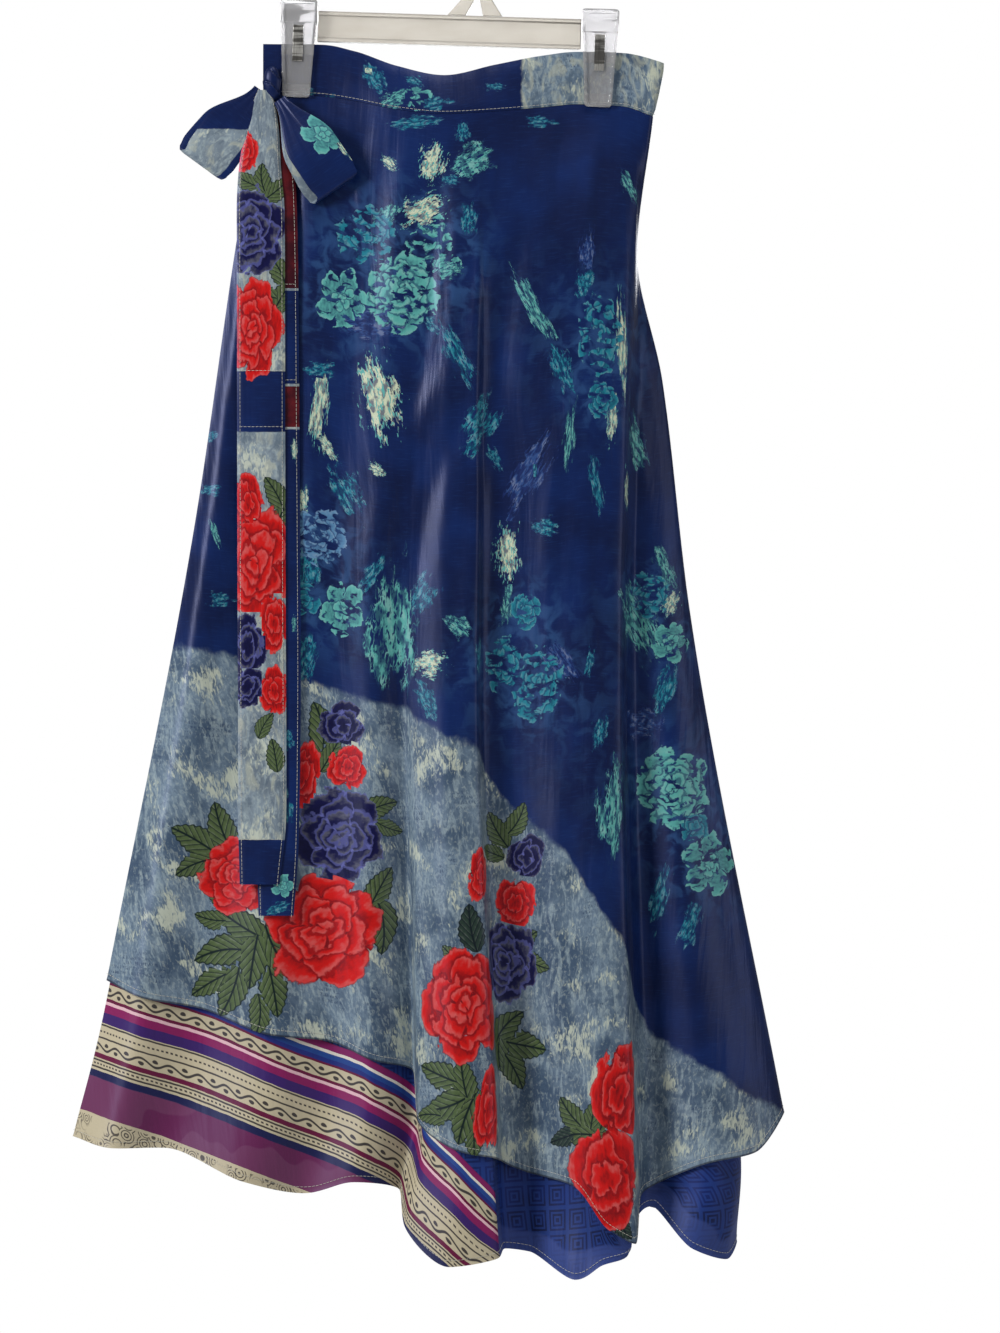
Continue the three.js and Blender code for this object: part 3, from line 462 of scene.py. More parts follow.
TIE_BLOOMS = (
    *blooms(Form.ROSE, Tone.INDIGO, 0, ((-163, -246, 33, 0.92, 90),)),
    *blooms(Form.ROSE, Tone.RED, 0, ((-160, -323, 38, 0.62, 90), (-158, -510, 44, 0.7, 84))),
    *blooms(Form.BUD, Tone.RED, 0, (
        (-166, -178, 19, 0.55, 90), (-142, -610, 20, 0.6, 90), (-164, -460, 26, 0.5, 100),
        (-142, -556, 24, 0.5, 90),
    )),
    *blooms(Form.BUD, Tone.INDIGO, 0, ((-163, -574, 26, 0.62, 86), (-162, -608, 17, 0.8, 60))),
)
REAR_TIE_MOTIFS = (
    *blooms(Form.FLOWER, Tone.MINT, 0.1, ((-135, -768, 9),)),
    *brushes(((Tone.TEAL, -132, -652, 12, 0.6, 80), (Tone.TEAL, -133, -708, 16, 0.5, 90),
              (Tone.TEAL, -138, -786, 12, 0.5, 20), (Tone.CREAM, -126, -420, 10, 0.3, 90),
              (Tone.MINT, -126, -560, 9, 0.3, 90))),
)
LOOP_MOTIFS = (
    *blooms(Form.FLOWER, Tone.MINT, 0.1, ((-103, -168, 18, 0.8, -30),)),
    *brushes(((Tone.TEAL, -114, -144, 9, 0.6, 40), (Tone.CREAM, -86, -180, 12, 0.3, -50))),
)
BAND_MOTIFS = (
    *brushes(((Tone.TEAL, -63, -121, 17, 0.6, -50), (Tone.MINT, -45, -137, 18, 0.5, 20),
              (Tone.TEAL, -14, -142, 15, 0.5, 10), (Tone.TEAL, -118, -133, 10, 0.6, 0),
              (Tone.CREAM, -66, -115, 9, 0.5, 0), (Tone.TEAL, 34, -128, 10, 0.4, 0),
              (Tone.TEAL, -30, -124, 11, 0.5, -20), (Tone.TEAL, -100, -138, 10, 0.5, 10))),
    *blooms(Form.FLOWER, Tone.MINT, 0.8, ((-32, -137, 17, 0.62, 4),)),
)


def carried_round(motifs: Sequence[Motif]) -> tuple[Motif, ...]:
    """The same motifs as they come again on the back, where the print has moved on a little."""
    across, down = 16, -24
    return tuple(replace(motif, x=motif.x + across, z=motif.z + down) for motif in motifs)


# ---- Drawing with nodes -------------------------------------------------------------------


class Drawing:
    """A node tree, with short calls for the nodes that it uses most."""

    def __init__(self, tree: bpy.types.NodeTree) -> None:
        """Keeps the tree that is drawn on."""
        self.tree = tree

    def node(self, kind: str, **settings: object) -> bpy.types.Node:
        """Adds a node of a kind and sets the given properties on it.

        Args:
            kind: the node's type.
            settings: its properties, by their names.

        Returns:
            The node.
        """
        made = self.tree.nodes.new(kind)
        for name, value in settings.items():
            setattr(made, name, value)
        return made

    def feed(self, socket: Socket, value: Feed) -> None:
        """Links a socket, or sets its own value where a number or colour is given.

        Args:
            socket: the input.
            value: an output to link, or a value.
        """
        if isinstance(value, bpy.types.NodeSocket):
            self.tree.links.new(value, socket)
        else:
            socket.default_value = value

    def fed(self, kind: str, inputs: dict[Union[int, str], Feed], **settings: object) -> bpy.types.Node:
        """Adds a node and feeds its inputs, each by its name or number.

        Args:
            kind: the node's type.
            inputs: what each input is fed.
            settings: its properties.

        Returns:
            The node.
        """
        made = self.node(kind, **settings)
        for key, value in inputs.items():
            self.feed(made.inputs[key], value)
        return made

    def math(self, operation: str, *values: Feed, clamp: bool = False) -> Socket:
        """The result of a Math node."""
        inputs = dict(enumerate(values))
        return self.fed("ShaderNodeMath", inputs, operation=operation, use_clamp=clamp).outputs[0]

    def minus(self, first: Feed, second: Feed) -> Socket:
        """The first value less the second."""
        return self.math("SUBTRACT", first, second)

    def size(self, value: Feed) -> Socket:
        """The value without its sign."""
        return self.math("ABSOLUTE", value)

    def most(self, first: Feed, second: Feed) -> Socket:
        """The larger of two values."""
        return self.math("MAXIMUM", first, second)

    def past(self, value: Feed, limit: float) -> Socket:
        """1 where a value is past a limit, and 0 elsewhere."""
        return self.math("GREATER_THAN", value, limit)

    def fraction(self, value: Feed) -> Socket:
        """What a value has after the point, so that it runs from 0 to 1 again and again."""
        return self.math("FRACT", value)

    def add(self, *values: Feed) -> Socket:
        """Adds values up.

        Args:
            values: two or more of them.

        Returns:
            Their sum.
        """
        total = values[0]
        for value in values[1:]:
            total = self.math("ADD", total, value)
        return total

    def times(self, *values: Feed) -> Socket:
        """Multiplies values.

        Args:
            values: two or more of them.

        Returns:
            Their product.
        """
        total = values[0]
        for value in values[1:]:
            total = self.math("MULTIPLY", total, value)
        return total

    def fade(self, value: Feed, low: float, high: float, start: float = 0, end: float = 1) -> Socket:
        """A smooth step.

        Args:
            value: what it follows.
            low, high: where the value leaves start, and where it reaches end.
            start, end: the results there.

        Returns:
            The result.
        """
        inputs = {"Value": value, "From Min": low, "From Max": high, "To Min": start, "To Max": end}
        return self.fed("ShaderNodeMapRange", inputs, interpolation_type="SMOOTHSTEP").outputs[0]

    def mix(self, share: Feed, low: Feed, high: Feed, blend: str = "MIX") -> Socket:
        """A mixture of two colours."""
        inputs = {0: share, 6: low, 7: high}
        return self.fed("ShaderNodeMix", inputs, data_type="RGBA", blend_type=blend).outputs[2]

    def noise(self, vector: Socket, scale: float, detail: float = 2, distortion: float = 0) -> Socket:
        """Cloudy noise, about 0.5 on average.

        Args:
            vector: the coordinates.
            scale: how many clouds go to a unit of them.
            detail: how many finer layers of cloud are added.
            distortion: how far the clouds are drawn out.

        Returns:
            The noise, from 0 to 1.
        """
        inputs = {"Vector": vector, "Scale": scale, "Detail": detail, "Distortion": distortion}
        return self.fed("ShaderNodeTexNoise", inputs).outputs[0]

    def wander(self, vector: Socket, scale: float, detail: float, reach: float) -> Socket:
        """Cloudy noise that strays about half its reach to either side of 0."""
        return self.times(self.minus(self.noise(vector, scale, detail), 0.5), reach)

    def cells(self, vector: Socket, scale: float) -> Socket:
        """The distance to the nearest of scattered points."""
        return self.fed("ShaderNodeTexVoronoi", {"Vector": vector, "Scale": scale}).outputs["Distance"]

    def split(self, vector: Socket) -> list[Socket]:
        """The three parts of a vector or colour."""
        return list(self.fed("ShaderNodeSeparateXYZ", {0: vector}).outputs)

    def join(self, x: Feed, y: Feed, z: Feed = 0.0) -> Socket:
        """A vector from its three parts."""
        return self.fed("ShaderNodeCombineXYZ", {0: x, 1: y, 2: z}).outputs[0]

    def stretched(self, vector: Socket, scale: Sequence[float]) -> Socket:
        """A vector with each part scaled by its own factor."""
        return self.fed("ShaderNodeVectorMath", {0: vector, 1: scale}, operation="MULTIPLY").outputs[0]

    def bump(self, height: Socket, strength: float, distance: float, over: Optional[Socket] = None) -> Socket:
        """A normal pressed by a height.

        Args:
            height: how far each point stands out, from 0 to 1.
            strength: how strongly it shows.
            distance: what a height of 1 stands for, in millimetres.
            over: the normal that it is pressed into; the surface's own when left out.

        Returns:
            The normal.
        """
        inputs = {"Strength": strength, "Distance": distance * MM, "Height": height}
        if over is not None:
            inputs["Normal"] = over
        return self.fed("ShaderNodeBump", inputs).outputs[0]

    def place(self) -> Socket:
        """Object coordinates, in metres."""
        return self.node("ShaderNodeTexCoord").outputs["Object"]

    def uv(self, name: str) -> Socket:
        """A UV map's coordinates."""
        return self.node("ShaderNodeUVMap", uv_map=name).outputs[0]

    def attribute(self, name: str) -> bpy.types.Node:
        """An Attribute node, with its Color and Fac outputs."""
        return self.node("ShaderNodeAttribute", attribute_name=name)

    def bands(self, value: Socket, stops: Sequence[tuple[float, Colour]]) -> Socket:
        """Stripes of colour.

        Args:
            value: a share from 0 to 1.
            stops: where each stripe starts, as such a share, and its colour.

        Returns:
            The colour of the stripe that the value falls in.
        """
        made = self.node("ShaderNodeValToRGB")
        ramp = made.color_ramp
        ramp.interpolation = "CONSTANT"
        for index, (place, colour) in enumerate(stops):
            stop = ramp.elements[index] if index < 2 else ramp.elements.new(place)
            stop.position = place
            stop.color = colour
        self.feed(made.inputs[0], value)
        return made.outputs[0]


@dataclass(frozen=True)
class Spot:
    """A place in a motif's circle of radius 1: its two parts, the same place moved by the seed for
    the noise, and the seed that makes each motif differ."""

    x: Feed
    y: Feed
    moved: Socket
    seed: Socket


class MotifGroups:
    """The shader groups that draw each form of motif inside a circle of radius 1.

    Every group takes the place in that circle and a seed, and gives the motif's shape, the shade
    of its fill and the lines drawn in it.
    """

    def __init__(self) -> None:
        """Builds the five groups."""
        drawers = {
            Form.ROSE: self.rose, Form.FLOWER: self.flower, Form.LEAF: self.leaf, Form.BUD: self.bud,
            Form.BRUSH: self.brush,
        }
        self.trees = {form: self.group(form, drawer) for form, drawer in drawers.items()}

    def group(self, form: Form, drawer: Callable[[Drawing, Spot], Drawn]) -> bpy.types.NodeTree:
        """Makes one group.

        Args:
            form: the motif that it draws.
            drawer: the method that draws it.

        Returns:
            The finished node group.
        """
        tree = bpy.data.node_groups.new(f"motif_{form.name.lower()}", "ShaderNodeTree")
        tree.interface.new_socket("Place", in_out="INPUT", socket_type="NodeSocketVector")
        tree.interface.new_socket("Seed", in_out="INPUT", socket_type="NodeSocketFloat")
        for name in ("Shape", "Shade", "Line"):
            tree.interface.new_socket(name, in_out="OUTPUT", socket_type="NodeSocketFloat")
        pen = Drawing(tree)
        place, seed = pen.node("NodeGroupInput").outputs[:2]
        x, y, _ = pen.split(place)
        step_x, step_y = 17.0, 9.0  # how far a seed of 1 moves the noise
        shift = pen.join(pen.times(seed, step_x), pen.times(seed, step_y))
        moved = pen.fed("ShaderNodeVectorMath", {0: place, 1: shift}, operation="ADD").outputs[0]
        pen.fed("NodeGroupOutput", dict(enumerate(drawer(pen, Spot(x, y, moved, seed)))))
        return tree

    @staticmethod
    def polar(pen: Drawing, x: Socket, y: Socket) -> tuple[Socket, Socket]:
        """The distance and the angle of a place from the middle."""
        square = pen.add(pen.times(x, x), pen.times(y, y))
        return pen.math("SQRT", square), pen.math("ARCTAN2", y, x)

    @classmethod
    def petals(
        cls, pen: Drawing, spot: Spot, rings: Sequence[tuple[float, float, float]], lobe_depth: float,
    ) -> Drawn:
        """Rings of petals that lie over each other, the inner ones on top.

        Args:
            pen: the group's nodes.
            spot: the place in the motif's circle.
            rings: each ring's reach, its number of petals and its turn, from the outside in.
            lobe_depth: how far the petals' ends stand out, as a share of the reach.

        Returns:
            The shape, the shade of its fill and the lines in it.
        """
        radius, angle = cls.polar(pen, spot.x, spot.y)
        wobble = pen.minus(pen.noise(spot.moved, 2.6, 4), 0.5)
        grain = pen.noise(pen.stretched(spot.moved, (3, 6, 1)), 1.8, 4)
        full_turn, ragged_turn, ragged_edge = 6.3, 1.6, 0.6
        line: Feed = 0.0
        shade: Feed = 0.0
        shape: Optional[Socket] = None
        for reach, count, turn in rings:
            phase = pen.add(pen.times(spot.seed, full_turn), turn, pen.times(wobble, ragged_turn))
            wave = pen.math("COSINE", pen.math("MULTIPLY_ADD", angle, count / 2, phase))
            lobe = pen.size(wave)
            swell = pen.times(pen.math("POWER", lobe, 0.55), lobe_depth)
            petal_edge = pen.times(pen.add(swell, 1 - lobe_depth), reach)
            edge = pen.add(petal_edge, pen.times(wobble, ragged_edge))
            inside = pen.minus(edge, radius)
            within = pen.fade(inside, 0.0, 0.03)
            shape = within if shape is None else shape
            folded = pen.add(pen.fade(inside, 0.0, 0.26, 0.92, 0.2), pen.times(lobe, 0.12))
            outside = pen.minus(1.0, within)
            shade = pen.add(pen.times(shade, outside), pen.times(folded, within))
            weight = 1.0 if reach > 0.9 else 0.6  # the outline is drawn strongest
            rim = pen.times(pen.fade(pen.size(inside), 0.012, 0.045, 1, 0), weight)
            between = pen.times(pen.fade(lobe, 0.1, 0.24, 1, 0), pen.fade(inside, 0.16, 0.05))
            own = pen.most(rim, pen.times(between, within))
            line = pen.most(pen.times(line, pen.minus(1.0, within)), own)
        textured = pen.add(pen.times(shade, 0.72), pen.times(grain, 0.55), -0.12)
        return shape, textured, line

    @classmethod
    def rose(cls, pen: Drawing, spot: Spot) -> Drawn:
        """A full rose: four rings of petals round a tight heart."""
        rings = ((0.98, 5, 0.0), (0.74, 5, 1.3), (0.52, 4, 2.4), (0.33, 3, 0.6), (0.17, 2, 1.9))
        return cls.petals(pen, spot, rings, 0.22)

    @classmethod
    def flower(cls, pen: Drawing, spot: Spot) -> Drawn:
        """An open flower: five broad petals round a small ring and an eye."""
        return cls.petals(pen, spot, ((0.98, 5, 0.0), (0.4, 5, 1.5), (0.16, 3, 0.4)), 0.42)

    @classmethod
    def leaf(cls, pen: Drawing, spot: Spot) -> Drawn:
        """A toothed leaf that points along x, with a midrib and side veins.

        Args:
            pen: the group's nodes.
            spot: the place in the motif's circle.

        Returns:
            The shape, the shade of its fill and the lines in it.
        """
        x, square = spot.x, pen.times(spot.x, spot.x)
        bend = pen.times(pen.minus(square, 0.4), pen.minus(spot.seed, 0.5), 0.7)
        across = pen.size(pen.minus(spot.y, bend))
        round_part = pen.most(pen.minus(1.0, square), 0.0)
        taper = pen.math("MULTIPLY_ADD", x, -0.3, 0.9)
        teeth = pen.times(pen.math("SINE", pen.times(x, 25.0)), 0.045)
        half = pen.add(pen.times(pen.math("POWER", round_part, 0.7), taper), teeth)
        inside = pen.minus(half, across)
        slanted = pen.minus(pen.times(across, 0.9), x)
        vein = pen.fraction(pen.times(slanted, 3.1))
        midrib = pen.fade(across, 0.03, 0.09, 1, 0)
        rim = pen.fade(inside, 0.06, 0.16, 1, 0)
        veins = pen.fade(vein, 0.07, 0.2, 1, 0)
        line = pen.most(pen.most(midrib, rim), pen.times(veins, 0.85))
        grain = pen.noise(spot.moved, 4, 3)
        shade = pen.add(pen.times(vein, 0.5), pen.times(grain, 0.7), -0.05)
        return pen.fade(inside, 0, 0.06), shade, line

    @classmethod
    def bud(cls, pen: Drawing, spot: Spot) -> Drawn:
        """A half-open bloom, its petals round a heart that lies to one side."""
        aside = replace(spot, x=pen.math("MULTIPLY_ADD", spot.x, 1.05, 0.12))
        return cls.petals(pen, aside, ((0.98, 3, 0.5), (0.68, 2, 1.8), (0.38, 2, 0.3)), 0.3)

    @classmethod
    def brush(cls, pen: Drawing, spot: Spot) -> Drawn:
        """A dabbed brush mark with a broken edge.

        Args:
            pen: the group's nodes.
            spot: the place in the motif's circle.

        Returns:
            The shape, the shade of its fill and the lines in it.
        """
        radius, _ = cls.polar(pen, spot.x, spot.y)
        broad = pen.noise(spot.moved, 1.7, 2)
        fine = pen.noise(pen.stretched(spot.moved, (5, 8, 1)), 1.3, 5, 0.6)
        dabbed = pen.add(pen.times(broad, 0.8), pen.times(fine, 0.75))
        cover = pen.add(dabbed, pen.times(radius, -0.42))
        shade = pen.fade(pen.noise(spot.moved, 3.5, 4), 0.34, 0.66)
        return pen.fade(cover, 0.46, 0.52), shade, pen.fade(fine, 0.52, 0.6)


@dataclass(frozen=True)
class PrintLayer:
    """The names that one printed layer has on a piece: its UV map, with each point's place inside
    its motif, and its attributes, with the colours of the fill and of the lines, and with the
    form's number, the seed and the wear."""

    place: str
    fill: str
    line: str
    form: str


LAYERS = tuple(
    PrintLayer(*(f"{layer}_{part}" for part in ("place", "fill", "line", "form")))
    for layer in ("lower", "upper")
)
CUT = "cut"  # the UV map of the flat cloth, in decimetres across and down
GROUND = "ground"  # the attribute with the ground's own measures


# ---- Finishes -----------------------------------------------------------------------------


def start_finish(
    name: str, own: dict[str, Union[float, Colour]],
) -> tuple[bpy.types.Material, Drawing, bpy.types.Node]:
    """A new material.

    Args:
        name: its name.
        own: the values that are set on the shader's own sockets, by their names.

    Returns:
        The material, the drawing of its nodes, and its shader.
    """
    made = bpy.data.materials.new(name)
    made.use_nodes = True
    shader = made.node_tree.nodes["Principled BSDF"]
    for socket, value in own.items():
        shader.inputs[socket].default_value = value
    return made, Drawing(made.node_tree), shader


@dataclass(frozen=True)
class Satin:
    """The gloss and the weave that all the skirt's cloths share."""

    name: str
    roughness: float = 0.34
    sheen: float = 0.03
    specular: float = 0.32
    slub: float = 0.3
    wrinkle: float = 0.5

    def material(self) -> bpy.types.Material:
        """Mixes the finish.

        Returns:
            The material.
        """
        made, pen, shader = start_finish(self.name, {
            "Roughness": self.roughness, "Specular IOR Level": self.specular, "Sheen Weight": self.sheen,
            "Sheen Roughness": 0.4, "Sheen Tint": (0.8, 0.86, 1.0, 1.0),
            "Specular Tint": (0.62, 0.66, 1.0, 1.0),
        })
        cut = pen.uv(CUT)
        pen.feed(shader.inputs["Base Color"], self.colour(pen, cut))
        pen.feed(shader.inputs["Normal"], self.surface(pen, cut))
        return made

    def surface(self, pen: Drawing, cut: Socket) -> Socket:
        """The weave's slubs over long soft wrinkles.

        Args:
            pen: the material's nodes.
            cut: the flat cloth's coordinates.

        Returns:
            The normal.
        """
        threads = pen.noise(pen.stretched(cut, (12, 160, 1)), 2.0, 3)
        wrinkles = pen.noise(pen.stretched(cut, (6, 0.8, 1)), 1.0, 3, 0.4)
        return pen.bump(threads, self.slub, 0.15, pen.bump(wrinkles, self.wrinkle, 2.2))

    def colour(self, pen: Drawing, cut: Socket) -> Socket:
        """The cloth's colour."""
        raise NotImplementedError

    @staticmethod
    def navy(pen: Drawing, cut: Socket) -> Socket:
        """Navy satin with a fine cross grain and cloudy patches of indigo.

        Args:
            pen: the material's nodes.
            cut: the flat cloth's coordinates.

        Returns:
            The colour.
        """
        cloud = pen.noise(cut, 1.4, 3)
        grain = pen.noise(pen.stretched(cut, (5, 70, 1)), 1.5, 3)
        deep = pen.mix(pen.fade(cloud, 0.36, 0.68), dye(7, 21, 60), dye(9, 33, 84))
        return pen.mix(pen.times(pen.fade(grain, 0.5, 0.8), 0.3), deep, dye(30, 60, 116))

    @staticmethod
    def slate(pen: Drawing, cut: Socket) -> Socket:
        """Blue-grey cloth with washes, dry-brushed cream patches and rows of short scratches.

        Args:
            pen: the material's nodes.
            cut: the flat cloth's coordinates.

        Returns:
            The colour.
        """
        cloud = pen.noise(cut, 2.2, 4, 0.5)
        base = pen.mix(pen.fade(cloud, 0.36, 0.66), dye(62, 80, 100), dye(106, 124, 140))
        washes = pen.noise(pen.stretched(cut, (9, 2.4, 1)), 1.3, 4, 1.6)
        washed = pen.mix(pen.times(pen.fade(washes, 0.5, 0.62), 0.62), base, dye(134, 150, 158))
        mottle = pen.noise(pen.stretched(cut, (24, 17, 1)), 1.4, 5, 0.8)
        speckled = pen.mix(pen.times(pen.fade(mottle, 0.5, 0.62), 0.3), washed, dye(50, 66, 88))
        lit = pen.mix(pen.times(pen.fade(mottle, 0.47, 0.36), 0.26), speckled, dye(172, 182, 176))
        dry = pen.noise(pen.stretched(cut, (34, 13, 1)), 1.2, 5, 1.1)
        patch = pen.noise(cut, 2.6, 2)
        cover = pen.add(pen.times(dry, 0.75), pen.times(patch, 1.25))
        scratched = pen.mix(pen.times(pen.fade(cover, 1.1, 1.26), 0.8), lit, dye(184, 190, 172))
        rows = pen.fraction(pen.times(pen.split(cut)[1], 24.0))
        strokes = pen.fade(pen.noise(pen.stretched(cut, (60, 24, 1)), 1.3, 2, 0.4), 0.5, 0.58)
        written = pen.times(strokes, pen.fade(rows, 0.3, 0.42), pen.fade(patch, 0.46, 0.36))
        return pen.mix(pen.times(written, 0.75), scratched, dye(50, 66, 90))


@dataclass(frozen=True)
class PrintedSatin(Satin):
    """Satin with motifs in two printed layers over its ground."""

    groups: Optional[MotifGroups] = None

    def ground(self, pen: Drawing, cut: Socket) -> Socket:
        """The ground that the motifs lie on."""
        return self.navy(pen, cut)

    def colour(self, pen: Drawing, cut: Socket) -> Socket:
        """The ground with both printed layers over it.

        Args:
            pen: the material's nodes.
            cut: the flat cloth's coordinates.

        Returns:
            The colour.
        """
        colour = self.ground(pen, cut)
        for layer in LAYERS:
            colour = self.printed(pen, cut, colour, layer)
        return colour

    def printed(self, pen: Drawing, cut: Socket, ground: Socket, layer: PrintLayer) -> Socket:
        """One printed layer over what is below it.

        Args:
            pen: the material's nodes.
            cut: the flat cloth's coordinates.
            ground: the colour below.
            layer: the names that the layer's places and colours have on the piece.

        Returns:
            The colour with the layer's motifs on it.
        """
        place = pen.uv(layer.place)
        number, seed, worn = pen.split(pen.attribute(layer.form).outputs["Color"])
        sums: list[Optional[Socket]] = [None, None, None]
        for form, tree in self.groups.trees.items():
            motif = pen.fed("ShaderNodeGroup", {0: place, 1: seed}, node_tree=tree)
            chosen = pen.math("COMPARE", number, float(form.value), 0.3)
            for index in range(3):
                share = pen.times(chosen, motif.outputs[index])
                sums[index] = share if sums[index] is None else pen.add(sums[index], share)
        shape, shade, line = sums
        gaps = pen.noise(pen.stretched(cut, (7, 11, 1)), 1.5, 5, 0.5)
        bare = pen.fade(pen.add(gaps, pen.times(worn, -0.36)), 0.26, 0.2)
        cover = pen.times(shape, pen.math("SUBTRACT", 1.0, bare, clamp=True))
        fill = pen.attribute(layer.fill).outputs["Color"]
        lines = pen.attribute(layer.line).outputs["Color"]
        deep = pen.mix(1.0, fill, (0.26, 0.26, 0.42, 1), "MULTIPLY")
        light = pen.mix(0.1, fill, (0.8, 0.82, 0.8, 1))
        low = pen.mix(pen.fade(shade, 0.12, 0.62), deep, fill)
        full = pen.mix(pen.fade(shade, 0.62, 1.0), low, light)
        lined = pen.mix(line, full, lines)
        return pen.mix(cover, ground, lined)


@dataclass(frozen=True)
class OuterSatin(PrintedSatin):
    """The outer layer: navy above, slate below a wavering line. The ground's first measure is how
    far below that line a point lies, in decimetres."""

    def ground(self, pen: Drawing, cut: Socket) -> Socket:
        """Navy, hazy round its blooms, that gives way to slate, with a thin dark line of painted shade along
        the rolled hem.

        Args:
            pen: the material's nodes.
            cut: the flat cloth's coordinates.

        Returns:
            The colour.
        """
        below, haze, above_hem = pen.split(pen.attribute(GROUND).outputs["Color"])
        share = pen.fade(pen.add(below, pen.wander(cut, 6, 4, 0.16)), -0.03, 0.05)
        smoke = pen.times(haze, pen.fade(pen.noise(cut, 6.5, 5, 0.9), 0.42, 0.64), 0.6)
        hazy = pen.mix(smoke, self.navy(pen, cut), dye(44, 78, 124))
        dyed = pen.mix(share, hazy, self.slate(pen, cut))
        # painted shade: the last two millimetres above the hem darken, standing in for the shade of the
        # rolled edge
        rolled = pen.fade(above_hem, 0.008, 0.02, 0.8, 0)
        return pen.mix(rolled, dyed, dye(30, 34, 48))


@dataclass(frozen=True)
class PiecedSatin(PrintedSatin):
    """The tie and the band: patches of navy, slate and maroon. The ground's first measure is 0 on
    navy, 1 on slate and 2 on maroon."""

    bleached: float = 0

    def ground(self, pen: Drawing, cut: Socket) -> Socket:
        """The patch's own ground.

        Args:
            pen: the material's nodes.
            cut: the flat cloth's coordinates.

        Returns:
            The colour.
        """
        which, _, _ = pen.split(pen.attribute(GROUND).outputs["Color"])
        maroon = pen.mix(pen.fade(pen.noise(cut, 5, 3), 0.4, 0.65), dye(52, 9, 14), dye(88, 20, 22))
        slated = pen.fade(pen.add(which, pen.wander(cut, 9, 4, 0.5)), 0.4, 0.6)
        slate = pen.mix(self.bleached, self.slate(pen, cut), dye(196, 204, 200))
        stain = pen.noise(pen.stretched(cut, (7, 3, 1)), 1.1, 4, 1.4)
        slate = pen.mix(pen.times(pen.fade(stain, 0.51, 0.64), 0.42), slate, dye(182, 184, 162))
        slate = pen.mix(pen.times(pen.fade(stain, 0.45, 0.36), 0.45), slate, dye(66, 82, 98))
        pale = pen.mix(slated, self.navy(pen, cut), slate)
        return pen.mix(pen.past(which, 1.5), pale, maroon)


